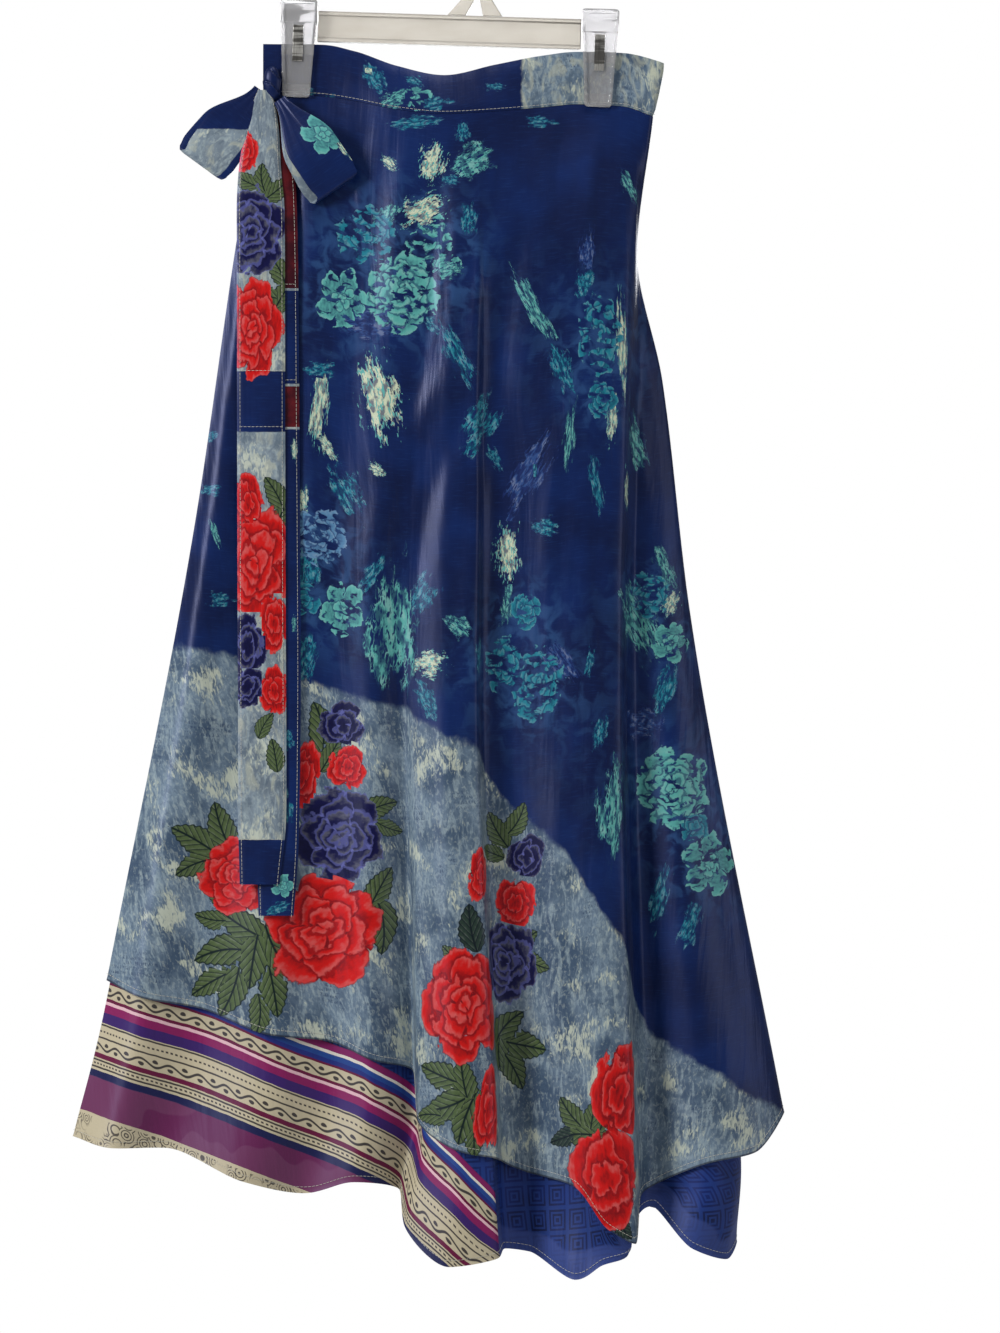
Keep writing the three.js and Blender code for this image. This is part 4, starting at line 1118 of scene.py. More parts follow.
@dataclass(frozen=True)
class HemBands:
    """The bands woven along the under layer's hem: the nodes that they are drawn with, the flat
    cloth's coordinates, the way across it in decimetres, and how far below the first vine stripe
    each point lies, in millimetres."""

    pen: Drawing
    cut: Socket
    across: Socket
    depth: Socket

    def over(self, blue: Socket) -> Socket:
        """The bands, each from its own depth down.

        Args:
            blue: the plain cloth's colour, which stays above them.

        Returns:
            The colour with the bands in it.
        """
        pen, cut, depth = self.pen, self.cut, self.depth
        cream, maroon, navy, ink = dye(178, 168, 142), dye(92, 16, 50), dye(20, 24, 66), dye(22, 18, 24)
        first, last, top, veil_top, veil_end, paisley_top = -20, 140, -18.5, 71.5, 98.5, 101.0
        stripes = (
            (top, dye(118, 24, 84)), (-13, dye(206, 200, 190)), (-10.4, dye(30, 62, 128)),
            (-6, dye(28, 40, 110)), (-2, maroon), (0, cream), (10.6, maroon), (13, dye(206, 168, 176)),
            (15.4, dye(122, 24, 80)), (21.6, dye(52, 28, 92)), (29.6, cream), (53, maroon),
            (56.4, cream), (65.8, navy), (veil_top, dye(92, 30, 72)), (veil_end, cream),
        )
        stops = [(0.0, maroon)] + [((place - first) / (last - first), colour) for place, colour in stripes]
        stripe = pen.bands(pen.math("DIVIDE", pen.minus(depth, first), last - first), stops)
        curls = pen.fraction(pen.times(pen.cells(cut, 11.0), 4.6))
        sparse = pen.fade(pen.noise(cut, 3.0, 1), 0.42, 0.5)
        paisley = pen.times(pen.fade(curls, 0.3, 0.42, 1, 0), sparse, pen.past(depth, paisley_top))
        lines = pen.add(
            self.vine(0.8, 10.0), self.vine(43.6, 9.2),
            self.dotted((31.5, 36.6, 41.4)), self.dotted((58.6, 61.2, 63.8)),
        )
        marks = pen.math("ADD", lines, pen.times(paisley, 0.9), clamp=True)
        drawn = pen.mix(pen.times(marks, 0.92), stripe, ink)
        veil = pen.times(
            pen.past(depth, veil_top), pen.math("LESS_THAN", depth, veil_end),
            pen.fade(pen.noise(cut, 2.0, 1), 0.48, 0.5),
        )
        veiled = pen.mix(pen.times(veil, 0.45), drawn, dye(108, 62, 92))
        return pen.mix(pen.past(depth, top), blue, veiled)

    def vine(self, top: float, height: float) -> Socket:
        """A running vine with a leaf in each bend.

        Args:
            top: the depth at which its stripe starts.
            height: the stripe's height.

        Returns:
            1 on the vine, and 0 beside it.
        """
        pen = self.pen
        wave, rim = 0.24, 0.02  # a bend to and fro in decimetres, and a share of the height
        phase = pen.times(self.across, 2 * math.pi / wave)
        level = pen.math("DIVIDE", pen.minus(self.depth, top), height)
        stem = pen.math("MULTIPLY_ADD", pen.math("SINE", phase), 0.24, 0.5)
        on_stem = pen.fade(pen.size(pen.minus(level, stem)), 0.07, 0.13, 1, 0)
        leaf_x = pen.minus(pen.fraction(pen.times(self.across, 2 / wave)), 0.5)
        leaf_level = pen.math("MULTIPLY_ADD", pen.math("SINE", phase), -0.2, 0.5)
        leaf_y = pen.times(pen.minus(level, leaf_level), 1.3)
        reach = pen.math("SQRT", pen.add(pen.times(leaf_x, leaf_x), pen.times(leaf_y, leaf_y)))
        leaf = pen.fade(reach, 0.17, 0.23, 1, 0)
        inside = pen.times(pen.past(level, rim), pen.math("LESS_THAN", level, 1 - rim))
        return pen.times(pen.most(on_stem, leaf), inside)

    def dotted(self, lines: tuple[float, float, float]) -> Socket:
        """A row of dots between two fine lines.

        Args:
            lines: the depths of the upper line, the dots and the lower line.

        Returns:
            1 on the lines and the dots, and 0 beside them.
        """
        pen, dots_a_decimetre, gap = self.pen, 26.0, 0.45
        upper, middle, lower = (
            pen.fade(pen.size(pen.minus(self.depth, line)), 0.5, 0.85, 1, 0) for line in lines
        )
        dots = pen.past(pen.fraction(pen.times(self.across, dots_a_decimetre)), gap)
        return pen.add(upper, pen.times(middle, dots), lower)


@dataclass(frozen=True)
class BorderSatin(Satin):
    """The under layer: royal blue with woven bands along its hem. The ground's measures are how far
    below the first vine stripe a point lies, how far above the hem, both in decimetres, and the
    share of the plain blue cloth."""

    def colour(self, pen: Drawing, cut: Socket) -> Socket:
        """The blue ground, its bands, and the pale see-through stretch along the hem.

        Args:
            pen: the material's nodes.
            cut: the flat cloth's coordinates.

        Returns:
            The colour.
        """
        below, above_hem, plain = pen.split(pen.attribute(GROUND).outputs["Color"])
        across, down, _ = pen.split(cut)
        blue = self.key_weave(pen, cut, across, down)
        sheer = pen.fade(pen.add(above_hem, pen.wander(cut, 2.2, 1, 0.34)), 0.2, 0.16, 0, 1)
        blue = pen.mix(pen.times(sheer, 0.7), blue, dye(50, 66, 124))
        depth = pen.add(pen.times(below, 100.0), pen.wander(cut, 9, 2, 1.1))
        return pen.mix(plain, HemBands(pen, cut, across, depth).over(blue), blue)

    @staticmethod
    def key_weave(pen: Drawing, cut: Socket, across: Socket, down: Socket) -> Socket:
        """Royal blue with a tone-on-tone key pattern of nested squares.

        Args:
            pen: the material's nodes.
            cut: the flat cloth's coordinates.
            across, down: the two parts of those.

        Returns:
            The colour.
        """
        tile, rings = 5.0, 6.0
        sides = [pen.size(pen.minus(pen.fraction(pen.times(part, tile)), 0.5)) for part in (across, down)]
        ring = pen.fraction(pen.times(pen.most(*sides), rings))
        cloud = pen.fade(pen.noise(cut, 2.5, 2), 0.35, 0.65)
        base = pen.mix(cloud, dye(6, 17, 54), dye(12, 32, 92))
        return pen.mix(pen.times(pen.fade(ring, 0.42, 0.58), 0.5), base, dye(32, 62, 134))


@dataclass(frozen=True)
class WrongSide(Satin):
    """The back of a cloth: the same dyes, paler and without the print."""

    pale: Colour = dye(74, 86, 128)
    dark: Colour = dye(38, 46, 92)

    def colour(self, pen: Drawing, cut: Socket) -> Socket:
        """Soft clouds of the dyes that strike through."""
        return pen.mix(pen.fade(pen.noise(cut, 1.8, 4, 0.4), 0.36, 0.66), self.dark, self.pale)


@dataclass(frozen=True)
class Thread:
    """Sewing thread."""

    name: str = "sewing_thread"
    pale: Colour = dye(204, 202, 190)

    def material(self) -> bpy.types.Material:
        """Mixes the finish, twisted along its length.

        Returns:
            The material.
        """
        made, pen, shader = start_finish(self.name, {"Roughness": 0.6})
        twist = pen.fade(pen.noise(pen.place(), 2400, 1), 0.4, 0.6)
        pen.feed(shader.inputs["Base Color"], pen.mix(twist, dye(168, 166, 158), self.pale))
        return made


@dataclass(frozen=True)
class FrostedPlastic:
    """Clear moulded plastic with a faint frost and a warm tint."""

    name: str = "frosted_plastic"
    roughness: float = 0.2
    transmission: float = 0.4
    deep: Colour = dye(186, 180, 170)
    pale: Colour = dye(206, 201, 192)

    def material(self) -> bpy.types.Material:
        """Mixes the finish.

        Returns:
            The material.
        """
        made, pen, shader = start_finish(self.name, {
            "Roughness": self.roughness, "IOR": 1.49, "Transmission Weight": self.transmission,
            "Coat Weight": 0.3, "Coat Roughness": 0.12,
        })
        flow = pen.noise(pen.stretched(pen.place(), (30, 30, 90)), 1.0, 3)
        pen.feed(shader.inputs["Base Color"], pen.mix(flow, self.deep, self.pale))
        frost = pen.noise(pen.place(), 160, 3)
        pen.feed(shader.inputs["Normal"], pen.bump(frost, 0.25, 0.3))
        return made


@dataclass(frozen=True)
class SpringSteel:
    """Bright rolled strip with fine drawing lines, and painted reflections: broad dim and bright bands of its
    colour along its height stand in for glints.
    """

    name: str = "spring_steel"

    def material(self) -> bpy.types.Material:
        """Mixes the finish.

        Returns:
            The material.
        """
        made, pen, shader = start_finish(self.name, {"Metallic": 1.0})
        place = pen.place()
        lines = pen.noise(pen.stretched(place, (2400, 300, 60)), 1.0, 2)
        # painted reflection: broad dim and bright bands along the strip's height stand in for glints on it
        turns = pen.fade(pen.noise(pen.stretched(place, (20, 20, 320)), 1.0, 1), 0.46, 0.56)
        bright = pen.mix(lines, dye(206, 204, 198), dye(238, 236, 230))
        pen.feed(shader.inputs["Base Color"], pen.mix(turns, dye(120, 118, 114), bright))
        pen.feed(shader.inputs["Roughness"], pen.fade(lines, 0.3, 0.7, 0.22, 0.4))
        return made


# ---- Cloth panels -------------------------------------------------------------------------


def level_inward(grid: Array, column_reach: int, row_reach: int) -> Array:
    """Level unit normals of a grid of points, pointing to the inside of the wrap.

    Args:
        grid: rows by columns by 3.
        column_reach, row_reach: how many points away the neighbours are that are compared.

    Returns:
        A grid of the same shape.
    """
    rows, columns = grid.shape[:2]
    right = np.minimum(np.arange(columns) + column_reach, columns - 1)
    left = np.maximum(np.arange(columns) - column_reach, 0)
    lower = np.minimum(np.arange(rows) + row_reach, rows - 1)
    upper = np.maximum(np.arange(rows) - row_reach, 0)
    normals = np.cross(grid[:, right] - grid[:, left], grid[lower] - grid[upper])
    normals[..., 2] = 0
    return normals / np.linalg.norm(normals, axis=-1, keepdims=True)


@dataclass
class Panel:
    """A closed piece of cloth between a face grid and a back grid, with its print.

    A quad takes a motif up to print_reach from its middle, in the motif's own half lengths. Its
    edges count as sharp from sharp_from degrees. The back's quads lie off_print every motif.
    """

    name: str
    face: Array
    back: Array
    cut: Array
    ground: Array
    motifs: Prints = ((), ())
    front_only: bool = True
    prints: dict[str, Array] = field(default_factory=dict)
    print_reach: float = 1.3
    off_print: float = 9.0
    seed_step: float = 0.618
    sharp_from: float = 50

    @staticmethod
    def corners_of_faces(grid: Array) -> Array:
        """A grid's values at the four corners of each of its quads."""
        return np.stack([grid[:-1, :-1], grid[1:, :-1], grid[1:, 1:], grid[:-1, 1:]], axis=2)

    def place_motifs(self) -> None:
        """Gives each quad the nearest motif of each printed layer, and its corners their places in it."""
        for layer, motifs in zip(LAYERS, self.motifs):
            rows, columns = self.face.shape[0] - 1, self.face.shape[1] - 1
            nearest = np.full((rows, columns), self.print_reach)
            place = np.zeros((rows, columns, 4, 2))
            form = np.zeros((rows, columns, 3))
            fill = np.zeros((rows, columns, 3))
            line = np.zeros((rows, columns, 3))
            for index, motif in enumerate(motifs):
                local = self.local_places(motif)
                corners = self.corners_of_faces(local)
                distance = np.linalg.norm(corners.mean(axis=2), axis=-1)
                closer = distance < nearest
                nearest[closer] = distance[closer]
                place[closer] = corners[closer]
                seed = (index * self.seed_step) % 1
                form[closer] = (motif.form.value, seed, motif.worn)
                fill[closer] = motif.tone.value[0][:3]
                line[closer] = motif.tone.value[1][:3]
            self.prints[layer.place] = place
            for name, values in ((layer.form, form), (layer.fill, fill), (layer.line, line)):
                self.prints[name] = values

    def local_places(self, motif: Motif) -> Array:
        """Where each point of the face lies in a motif's own circle.

        Args:
            motif: the motif.

        Returns:
            A grid of pairs; the motif fills the circle of radius 1.
        """
        x, y, z = self.face[..., 0], self.face[..., 1], self.face[..., 2]
        steps = np.zeros_like(x)
        steps[:, 1:] = np.hypot(np.diff(x, axis=1), np.diff(y, axis=1))
        round_way = np.cumsum(steps, axis=1)
        depth = y if self.front_only else -y
        depth_counts = 0.15
        miss = np.hypot(x - motif.x, z - motif.z) + depth_counts * (depth - depth.min())
        row, column = np.unravel_index(np.argmin(miss), miss.shape)
        beside = slice(column - 1, column + 2) if 0 < column < x.shape[1] - 1 else slice(0, 3)
        slope = np.gradient(x[:, beside], axis=1)[:, 1]
        run, shortest = steps[:, max(column, 1)], 1e-6
        steepest = 0.4  # as a share of level; a steeper fold would stretch the print too far
        level = np.clip(np.abs(slope) / np.maximum(run, shortest), steepest, 1) * np.sign(slope)
        across = (round_way - round_way[:, column:column + 1]) * np.sign(level)[:, None]
        across = across + ((x[:, column] - motif.x) / np.abs(level))[:, None]
        up = z - motif.z
        angle = math.radians(motif.turn)
        along = across * math.cos(angle) + up * math.sin(angle)
        over = up * math.cos(angle) - across * math.sin(angle)
        return np.stack([along / motif.size, over / (motif.size * motif.aspect)], axis=-1)

    def build(self, right_side: bpy.types.Material, wrong_side: bpy.types.Material) -> bpy.types.Object:
        """Makes the mesh, with its maps and attributes.

        Args:
            right_side, wrong_side: the finishes of the face and of the back.

        Returns:
            The object, in metres and at the origin.
        """
        self.place_motifs()
        rows, columns = self.face.shape[:2]
        number = np.arange(rows * columns).reshape(rows, columns)
        behind = number + rows * columns
        front_quads = self.corners_of_faces(number).reshape(-1, 4)
        back_quads = self.corners_of_faces(behind)[..., ::-1].reshape(-1, 4)
        rims = []
        for i, way in ((0, 1), (columns - 1, -1)):
            rim = np.stack([number[:-1, i], behind[:-1, i], behind[1:, i], number[1:, i]], axis=1)
            rims.append(rim[:, ::way])
        for j, way in ((0, 1), (rows - 1, -1)):
            rim = np.stack([number[j, :-1], number[j, 1:], behind[j, 1:], behind[j, :-1]], axis=1)
            rims.append(rim[:, ::way])
        quads = np.vstack([front_quads, back_quads, *rims])
        points = np.vstack([self.face.reshape(-1, 3), self.back.reshape(-1, 3)]) * MM
        mesh = bpy.data.meshes.new(self.name)
        mesh.from_pydata(points.tolist(), [], quads.tolist())
        mesh.materials.append(right_side)
        mesh.materials.append(wrong_side)
        side = np.zeros(len(quads), np.int32)
        side[len(front_quads):2 * len(front_quads)] = 1
        mesh.polygons.foreach_set("material_index", side)
        self.write_maps(mesh, quads, len(front_quads))
        mesh.shade_smooth()
        mesh.set_sharp_from_angle(angle=math.radians(self.sharp_from))
        return put_in_scene(self.name, mesh)

    def write_maps(self, mesh: bpy.types.Mesh, quads: Array, front_count: int) -> None:
        """Writes the UV maps and the colour attributes.

        Args:
            mesh: the new mesh.
            quads: its quads, the face's first.
            front_count: how many of them are the face's, and so how many the back's.
        """
        points = self.face.shape[0] * self.face.shape[1]
        loops = quads.reshape(-1) % points
        cut_map = mesh.uv_layers.new(name=CUT)
        cut_map.data.foreach_set("uv", self.cut.reshape(-1, 2)[loops].reshape(-1).astype(np.float32))
        ground = np.ones((len(loops), 4), np.float32)
        ground[:, :3] = self.ground.reshape(-1, 3)[loops]
        self.write_colours(mesh, GROUND, ground)
        for layer in LAYERS:
            place = np.full((len(loops), 2), self.off_print, np.float32)
            place[:front_count * 4] = self.prints[layer.place].reshape(-1, 2)
            mesh.uv_layers.new(name=layer.place).data.foreach_set("uv", place.reshape(-1))
            for name in (layer.form, layer.fill, layer.line):
                colours = np.zeros((len(loops), 4), np.float32)
                colours[:front_count * 4, :3] = np.repeat(self.prints[name].reshape(-1, 3), 4, axis=0)
                self.write_colours(mesh, name, colours)

    @staticmethod
    def write_colours(mesh: bpy.types.Mesh, name: str, values: Array) -> None:
        """Writes one colour attribute, a value for each corner."""
        attribute = mesh.color_attributes.new(name=name, type="FLOAT_COLOR", domain="CORNER")
        attribute.data.foreach_set("color", values.reshape(-1).astype(np.float32))


def dress(piece: bpy.types.Object, nodes: Sequence[str]) -> bpy.types.Object:
    """Rides a piece on the body, in place of its solids.

    Args:
        piece: the piece.
        nodes: the nodes that it stands for.

    Returns:
        The same piece.
    """
    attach(piece, BODY)
    if nodes:
        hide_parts(*nodes)
    LOG.info("%s stands for %s", piece.name, ", ".join(nodes) or "itself")
    return piece


# ---- The wrapped skirt --------------------------------------------------------------------


@dataclass
class Wrap:
    """The wrapped line of the band, and the two layers' surfaces that hang from it."""

    seam_gap: float = 0.3
    band_wall: float = 2.2
    cloth_wall: float = 0.7
    panel_inset: float = 0.4
    step_at_waist: float = 1.4
    step_low: float = 4.2
    hem_roll: float = 0.35
    columns_a_step: int = 5
    rows_outer: int = 168
    rows_hidden: int = 60
    rows_border: int = 60
    solid_rows: int = 12
    panel_reach: int = 6
    band_fine: int = 12

    def __post_init__(self) -> None:
        """Measures the band, then lays out both layers."""
        knots = [(s.x, s.y, s.lean, s.flare, s.top, s.seam) for s in BAND]
        points = (len(BAND) - 1) * self.band_fine + 1
        self.band_line = SmoothLine(knots).at(np.arange(points) / self.band_fine)
        steps = np.hypot(*np.diff(self.band_line[:, :2], axis=0).T)
        self.band_distance = np.concatenate([[0], np.cumsum(steps)])
        self.columns = self.fold_columns()
        bands = np.array([fold.band for fold in FOLDS], float)
        self.tops = self.hangs_from(bands)
        self.fold_bands = SmoothLine(bands[:, None])
        self.fold_tops = SmoothLine(self.tops)
        self.outer = self.creased(self.outer_grid(np.linspace(0, 1, self.rows_outer + 1)), self.rows_outer)
        self.under = self.under_grid()

    def fold_columns(self) -> Array:
        """Lays out the columns.

        Returns:
            Each column's place along the folds, round the wrap.
        """
        places = [
            k + n / (fold.steps * self.columns_a_step)
            for k, fold in enumerate(FOLDS) for n in range(fold.steps * self.columns_a_step)
        ]
        return np.array([*places, len(FOLDS) - 1.0])

    def hangs_from(self, distances: Array) -> Array:
        """The points that cloth hangs from.

        Args:
            distances: how far along the band's seam each of them is.

        Returns:
            One row of x, y and z for each.
        """
        after = np.searchsorted(self.band_distance, distances, side="right")
        k = np.clip(after - 1, 0, len(self.band_line) - 2)
        a, b = self.band_line[k], self.band_line[k + 1]
        share = (distances - self.band_distance[k]) / (self.band_distance[k + 1] - self.band_distance[k])
        step = b[:, :2] - a[:, :2]
        inset = self.panel_inset / np.hypot(step[:, 0], step[:, 1])
        x = mix(a[:, 0], b[:, 0], share) - step[:, 1] * inset
        y = mix(a[:, 1], b[:, 1], share) + step[:, 0] * inset
        return np.stack([x, y, mix(a[:, 5], b[:, 5], share)], axis=1)

    def outer_grid(self, rows: Array) -> Array:
        """The outer layer's face.

        Args:
            rows: shares of the way from the seam to the hem.

        Returns:
            Rows by columns by 3.
        """
        plans = [self.fold_plan(fold, top[:2]).at(rows) for fold, top in zip(FOLDS, self.tops)]
        hems = np.array([fold.hem[2] for fold in FOLDS], float)
        heights = mix(self.tops[:, 2][None], hems[None], rows[:, None])[..., None]
        knots = np.concatenate([np.stack(plans, axis=1), heights], axis=2).transpose(1, 0, 2)
        hung = SmoothLine(knots.reshape(len(FOLDS), -1)).at(self.columns)
        free = hung.reshape(len(self.columns), len(rows), 3).transpose(1, 0, 2)
        held = self.hangs_from(self.fold_bands.at(self.columns)[:, 0]) - self.fold_tops.at(self.columns)
        hold = np.clip(1 - rows / LEVELS[1], 0, 1) ** 2
        return free + hold[:, None, None] * held[None]

    @staticmethod
    def fold_plan(fold: Fold, top: Array) -> SmoothLine:
        """A fold's line in plan.

        Args:
            fold: the fold.
            top: x and y of the point that it hangs from.

        Returns:
            The line, with 0 at that point and 1 at the outer hem.
        """
        points, places = [top, fold.high, fold.middle, fold.hem[:2]], list(LEVELS)
        if fold.hip:
            points.insert(2, fold.hip)
            places.insert(2, HIP_LEVEL)
        return SmoothLine([list(point) for point in points], places)

    def creased(self, grid: Array, rows: int) -> Array:
        """The grid with its creases pressed in or out.

        Args:
            grid: a layer's face.
            rows: how many steps its rows make from the seam to the outer hem.

        Returns:
            A grid of the same shape.
        """
        inward = level_inward(grid, self.columns_a_step, rows // self.solid_rows)
        facing = -inward[..., 1]
        turned, bowed, past_end, tapered = 0.2, 0.8, 0.1, 0.35
        lift = np.zeros(grid.shape[:2])
        for creases, seen in ((FRONT_CREASES, facing < -turned), (BACK_CREASES, facing > turned)):
            for crease in creases:
                (x0, z0), (x1, z1) = crease.start, crease.end
                along_x, along_z = x1 - x0, z1 - z0
                length = math.hypot(along_x, along_z)
                dx, dz = grid[..., 0] - x0, grid[..., 2] - z0
                share = (dx * along_x + dz * along_z) / length ** 2
                bow = crease.width * bowed * np.sin(np.pi * np.clip(share, 0, 1))
                off = (dx * along_z - dz * along_x) / length - bow
                from_end = np.minimum(share + past_end, 1 + past_end - share)
                ends = ease(np.clip(from_end / tapered, 0, 1))
                lift += np.where(seen, crease.depth * np.exp(-((off / crease.width) ** 2)) * ends, 0)
        return grid - inward * lift[..., None]

    def under_grid(self) -> Array:
        """The under layer: the outer one's points moved in, then on down to its own hem.

        Returns:
            Rows by columns by 3.
        """
        rows = np.linspace(0, 1, self.rows_hidden + 1)
        face = self.creased(self.outer_grid(rows), self.rows_hidden)
        reach = self.rows_hidden // self.solid_rows
        step = mix(self.step_at_waist, self.step_low, ease(rows))[:, None, None]
        upper = face + level_inward(face, self.columns_a_step, reach) * step
        drawn = self.by_fold(lambda fold: DRAWN_IN.get(fold.name, 0) * (fold.under[0] - fold.hem[0]))
        come_in = ease(np.clip((rows - DRAWN_FROM) / (1 - DRAWN_FROM), 0, 1))
        upper[..., 0] += come_in[:, None] * drawn[None]
        hem = SmoothLine([f.under for f in FOLDS]).at(self.columns)
        last = upper[-1]
        arriving = last - upper[-1 - reach]
        arriving = arriving / np.linalg.norm(arriving, axis=1, keepdims=True)
        run = np.linalg.norm(hem - last, axis=1, keepdims=True)
        lower = []
        for u in np.arange(1, self.rows_border + 1) / self.rows_border:
            onward = last + arriving * run * u
            straight = mix(last, hem, u)
            lower.append(mix(onward, straight, ease(u)))
        return np.concatenate([upper, np.array(lower)])

    @staticmethod
    def flat_map(grid: Array) -> Array:
        """The flat cloth's coordinates, in decimetres: across from the free edge, and down.

        Args:
            grid: a face.

        Returns:
            A grid of pairs.
        """
        across = np.zeros(grid.shape[:2])
        across[:, 1:] = np.cumsum(np.linalg.norm(np.diff(grid, axis=1), axis=-1), axis=1)
        down = np.zeros(grid.shape[:2])
        down[1:] = np.cumsum(np.linalg.norm(np.diff(grid, axis=0), axis=-1), axis=0)
        return np.stack([across, down], axis=-1) / 100

    def by_fold(self, measure: Callable[[Fold], float]) -> Array:
        """A measure of each fold, carried over to every column."""
        return SmoothLine([[measure(fold)] for fold in FOLDS]).at(self.columns)[:, 0]

    def column_of(self, name: str) -> int:
        """The column that lies on a fold."""
        k = next(i for i, fold in enumerate(FOLDS) if fold.name == name)
        return sum(fold.steps for fold in FOLDS[:k]) * self.columns_a_step

    def panels(self) -> list[Panel]:
        """Cuts both layers at the side.

        Returns:
            The four panels of the skirt: front and back of each layer.
        """
        unprinted = ((), ())
        front = (NAVY_MARKS + BOUQUET_LEAVES, NAVY_BLOOMS + BOUQUET_BLOOMS)
        behind = (carried_round(front[0]), carried_round(front[1]))
        return [
            *self.layer_panels("outer", self.outer, self.outer_ground(), (front, behind)),
            *self.layer_panels("under", self.under, self.under_ground(), (unprinted, unprinted)),
        ]

    def outer_ground(self) -> Array:
        """The outer layer's own measures.

        Returns:
            At each point: how far below the slate's line, how hazy, and how far above the hem it is.
        """
        x, z = self.outer[..., 0], self.outer[..., 2]
        spread = 1.5
        hazes = [np.exp(-(((x - m.x) ** 2 + (z - m.z) ** 2) / (m.size * spread) ** 2)) for m in NAVY_BLOOMS]
        below = (self.by_fold(lambda fold: fold.slate)[None] - z) / 100
        return np.stack([below, np.clip(sum(hazes), 0, 1), (z - z[-1:]) / 100], axis=-1)

    def under_ground(self) -> Array:
        """The under layer's own measures.

        Returns:
            At each point: how far below the first stripe, how far above the hem, and how plain it is.
        """
        z = self.under[..., 2]
        below = (self.by_fold(lambda fold: fold.border)[None] - z) / 100
        plain = np.zeros_like(below)
        first = self.column_of("ridge a") + 3
        plain[:, first:self.column_of("back crest right")] = 1
        return np.stack([below, (z - z[-1:]) / 100, plain], axis=-1)

    def layer_panels(
        self, name: str, grid: Array, ground: Array, prints: tuple[Prints, Prints],
    ) -> list[Panel]:
        """The two panels of one layer, with a rolled hem.

        Args:
            name: the layer's name.
            grid: its face.
            ground: its ground's own measures.
            prints: what is printed on its front and on its back.

        Returns:
            The front panel and the back one.
        """
        inward = level_inward(grid, self.columns_a_step, self.panel_reach)
        length, roll_width = 840, 4
        above_hem = (1 - np.linspace(0, 1, len(grid))) * length
        roll = np.exp(-(above_hem / roll_width) ** 2)[:, None, None] * self.hem_roll
        face, back = grid - inward * roll, grid + inward * (self.cloth_wall + roll)
        cut = self.flat_map(grid)
        split, end = self.column_of(SIDE_SPLIT), len(self.columns) - 1
        made = []
        for side, first, last, motifs in (("front", 0, split, prints[0]), ("back", split, end, prints[1])):
            part = slice(first, last + 1)
            laid = cut[:, part].copy()
            laid[..., 0] -= cut[:, (first + last) // 2, :1]
            made.append(Panel(
                f"{name}_{side}_cloth", face[:, part], back[:, part], laid, ground[:, part], motifs,
                front_only=side == "front",
            ))
        return made

    def band_panels(self) -> list[Panel]:
        """The waistband's two panels, with soft pressed edges.

        Returns:
            The front panel and the back one.
        """
        line, rows_down = self.band_line, 9
        top = np.stack([line[:, 0] + line[:, 3], line[:, 1] + line[:, 2], line[:, 4]], axis=1)
        seam = np.stack([line[:, 0], line[:, 1], line[:, 5] + self.seam_gap], axis=1)
        rows = np.linspace(0, 1, rows_down)
        grid = mix(top[None], seam[None], rows[:, None, None])
        inward = level_inward(grid, 3, 2)
        press, press_width, fill, fill_behind = 0.75, 0.05, 0.5, 0.4
        edge = np.minimum(rows, 1 - rows)
        pressed = press * np.exp(-((edge / press_width) ** 2))
        swell = (fill * np.sin(np.pi * rows) - pressed)[:, None, None]
        face = grid - inward * swell
        back = grid + inward * (self.band_wall + swell * fill_behind)
        cut = self.flat_map(grid)
        slate_from, slate_to, blend = 210, 420, 14
        into = np.clip((self.band_distance - slate_from) / blend + 0.5, 0, 1)
        on_slate = into * np.clip((slate_to - self.band_distance) / blend + 0.5, 0, 1)
        ground = np.zeros((rows_down, len(line), 3))
        ground[..., 0] = on_slate[None]
        split = next(i for i, station in enumerate(BAND) if station.name == BAND_SPLIT) * self.band_fine
        made = []
        halves = (("front", slice(split + 1), BAND_MOTIFS), ("back", slice(split, None), ()))
        for side, part, motifs in halves:
            made.append(Panel(
                f"waistband_{side}_cloth", face[:, part], back[:, part], cut[:, part], ground[:, part],
                (motifs, ()), front_only=side == "front",
            ))
        return made


@dataclass
class Skirt:
    """The skirt's cloth: its waistband and its two layers."""

    wrap: Wrap
    groups: MotifGroups

    def build(self) -> None:
        outer = OuterSatin("outer_satin", groups=self.groups).material()
        band = PiecedSatin("waistband_satin", groups=self.groups).material()
        under = BorderSatin("under_satin", roughness=0.5).material()
        lining = WrongSide("wrong_side").material()
        finishes = {"outer": outer, "under": under, "waistband": band}
        for panel in [*self.wrap.band_panels(), *self.wrap.panels()]:
            layer, side, _ = panel.name.split("_")
            piece = panel.build(finishes[layer], lining)
            dress(piece, [f"{layer}_{side}"])


# ---- The tie ------------------------------------------------------------------------------


class Patch(Enum):
    """The grounds of the tie's patches, by the number that its finish reads."""

    NAVY = 0
    SLATE = 1
    MAROON = 2


@dataclass(frozen=True)
class TailSizes:
    """A hanging end of the tie: stations of x, width and height from the knot down, how far it is
    clear of the skirt, its patches from the top down, and its motifs in two layers."""

    node: str
    stations: tuple[tuple[float, float, float], ...]
    lift: float
    patches: tuple[tuple[float, Patch], ...]
    motifs: Prints


@dataclass(frozen=True)
class LoopSizes:
    """A loop of the bow: where it leaves the knot, the way it hangs (degrees; 0 is right and -90
    down), and its other sizes as the solid has them. Its front ply is cut from the upper patch down
    to a height, and slate below that, but for a navy edge from a share of its half width on; its
    rear ply is one patch."""

    node: str
    root: tuple[float, float]
    y: float
    way: float
    length: float
    end_width: float
    slip: float
    bulge: float
    ply: float
    upper: Patch
    slate_below: float
    dark_from: float
    rear: Patch
    motifs: Prints


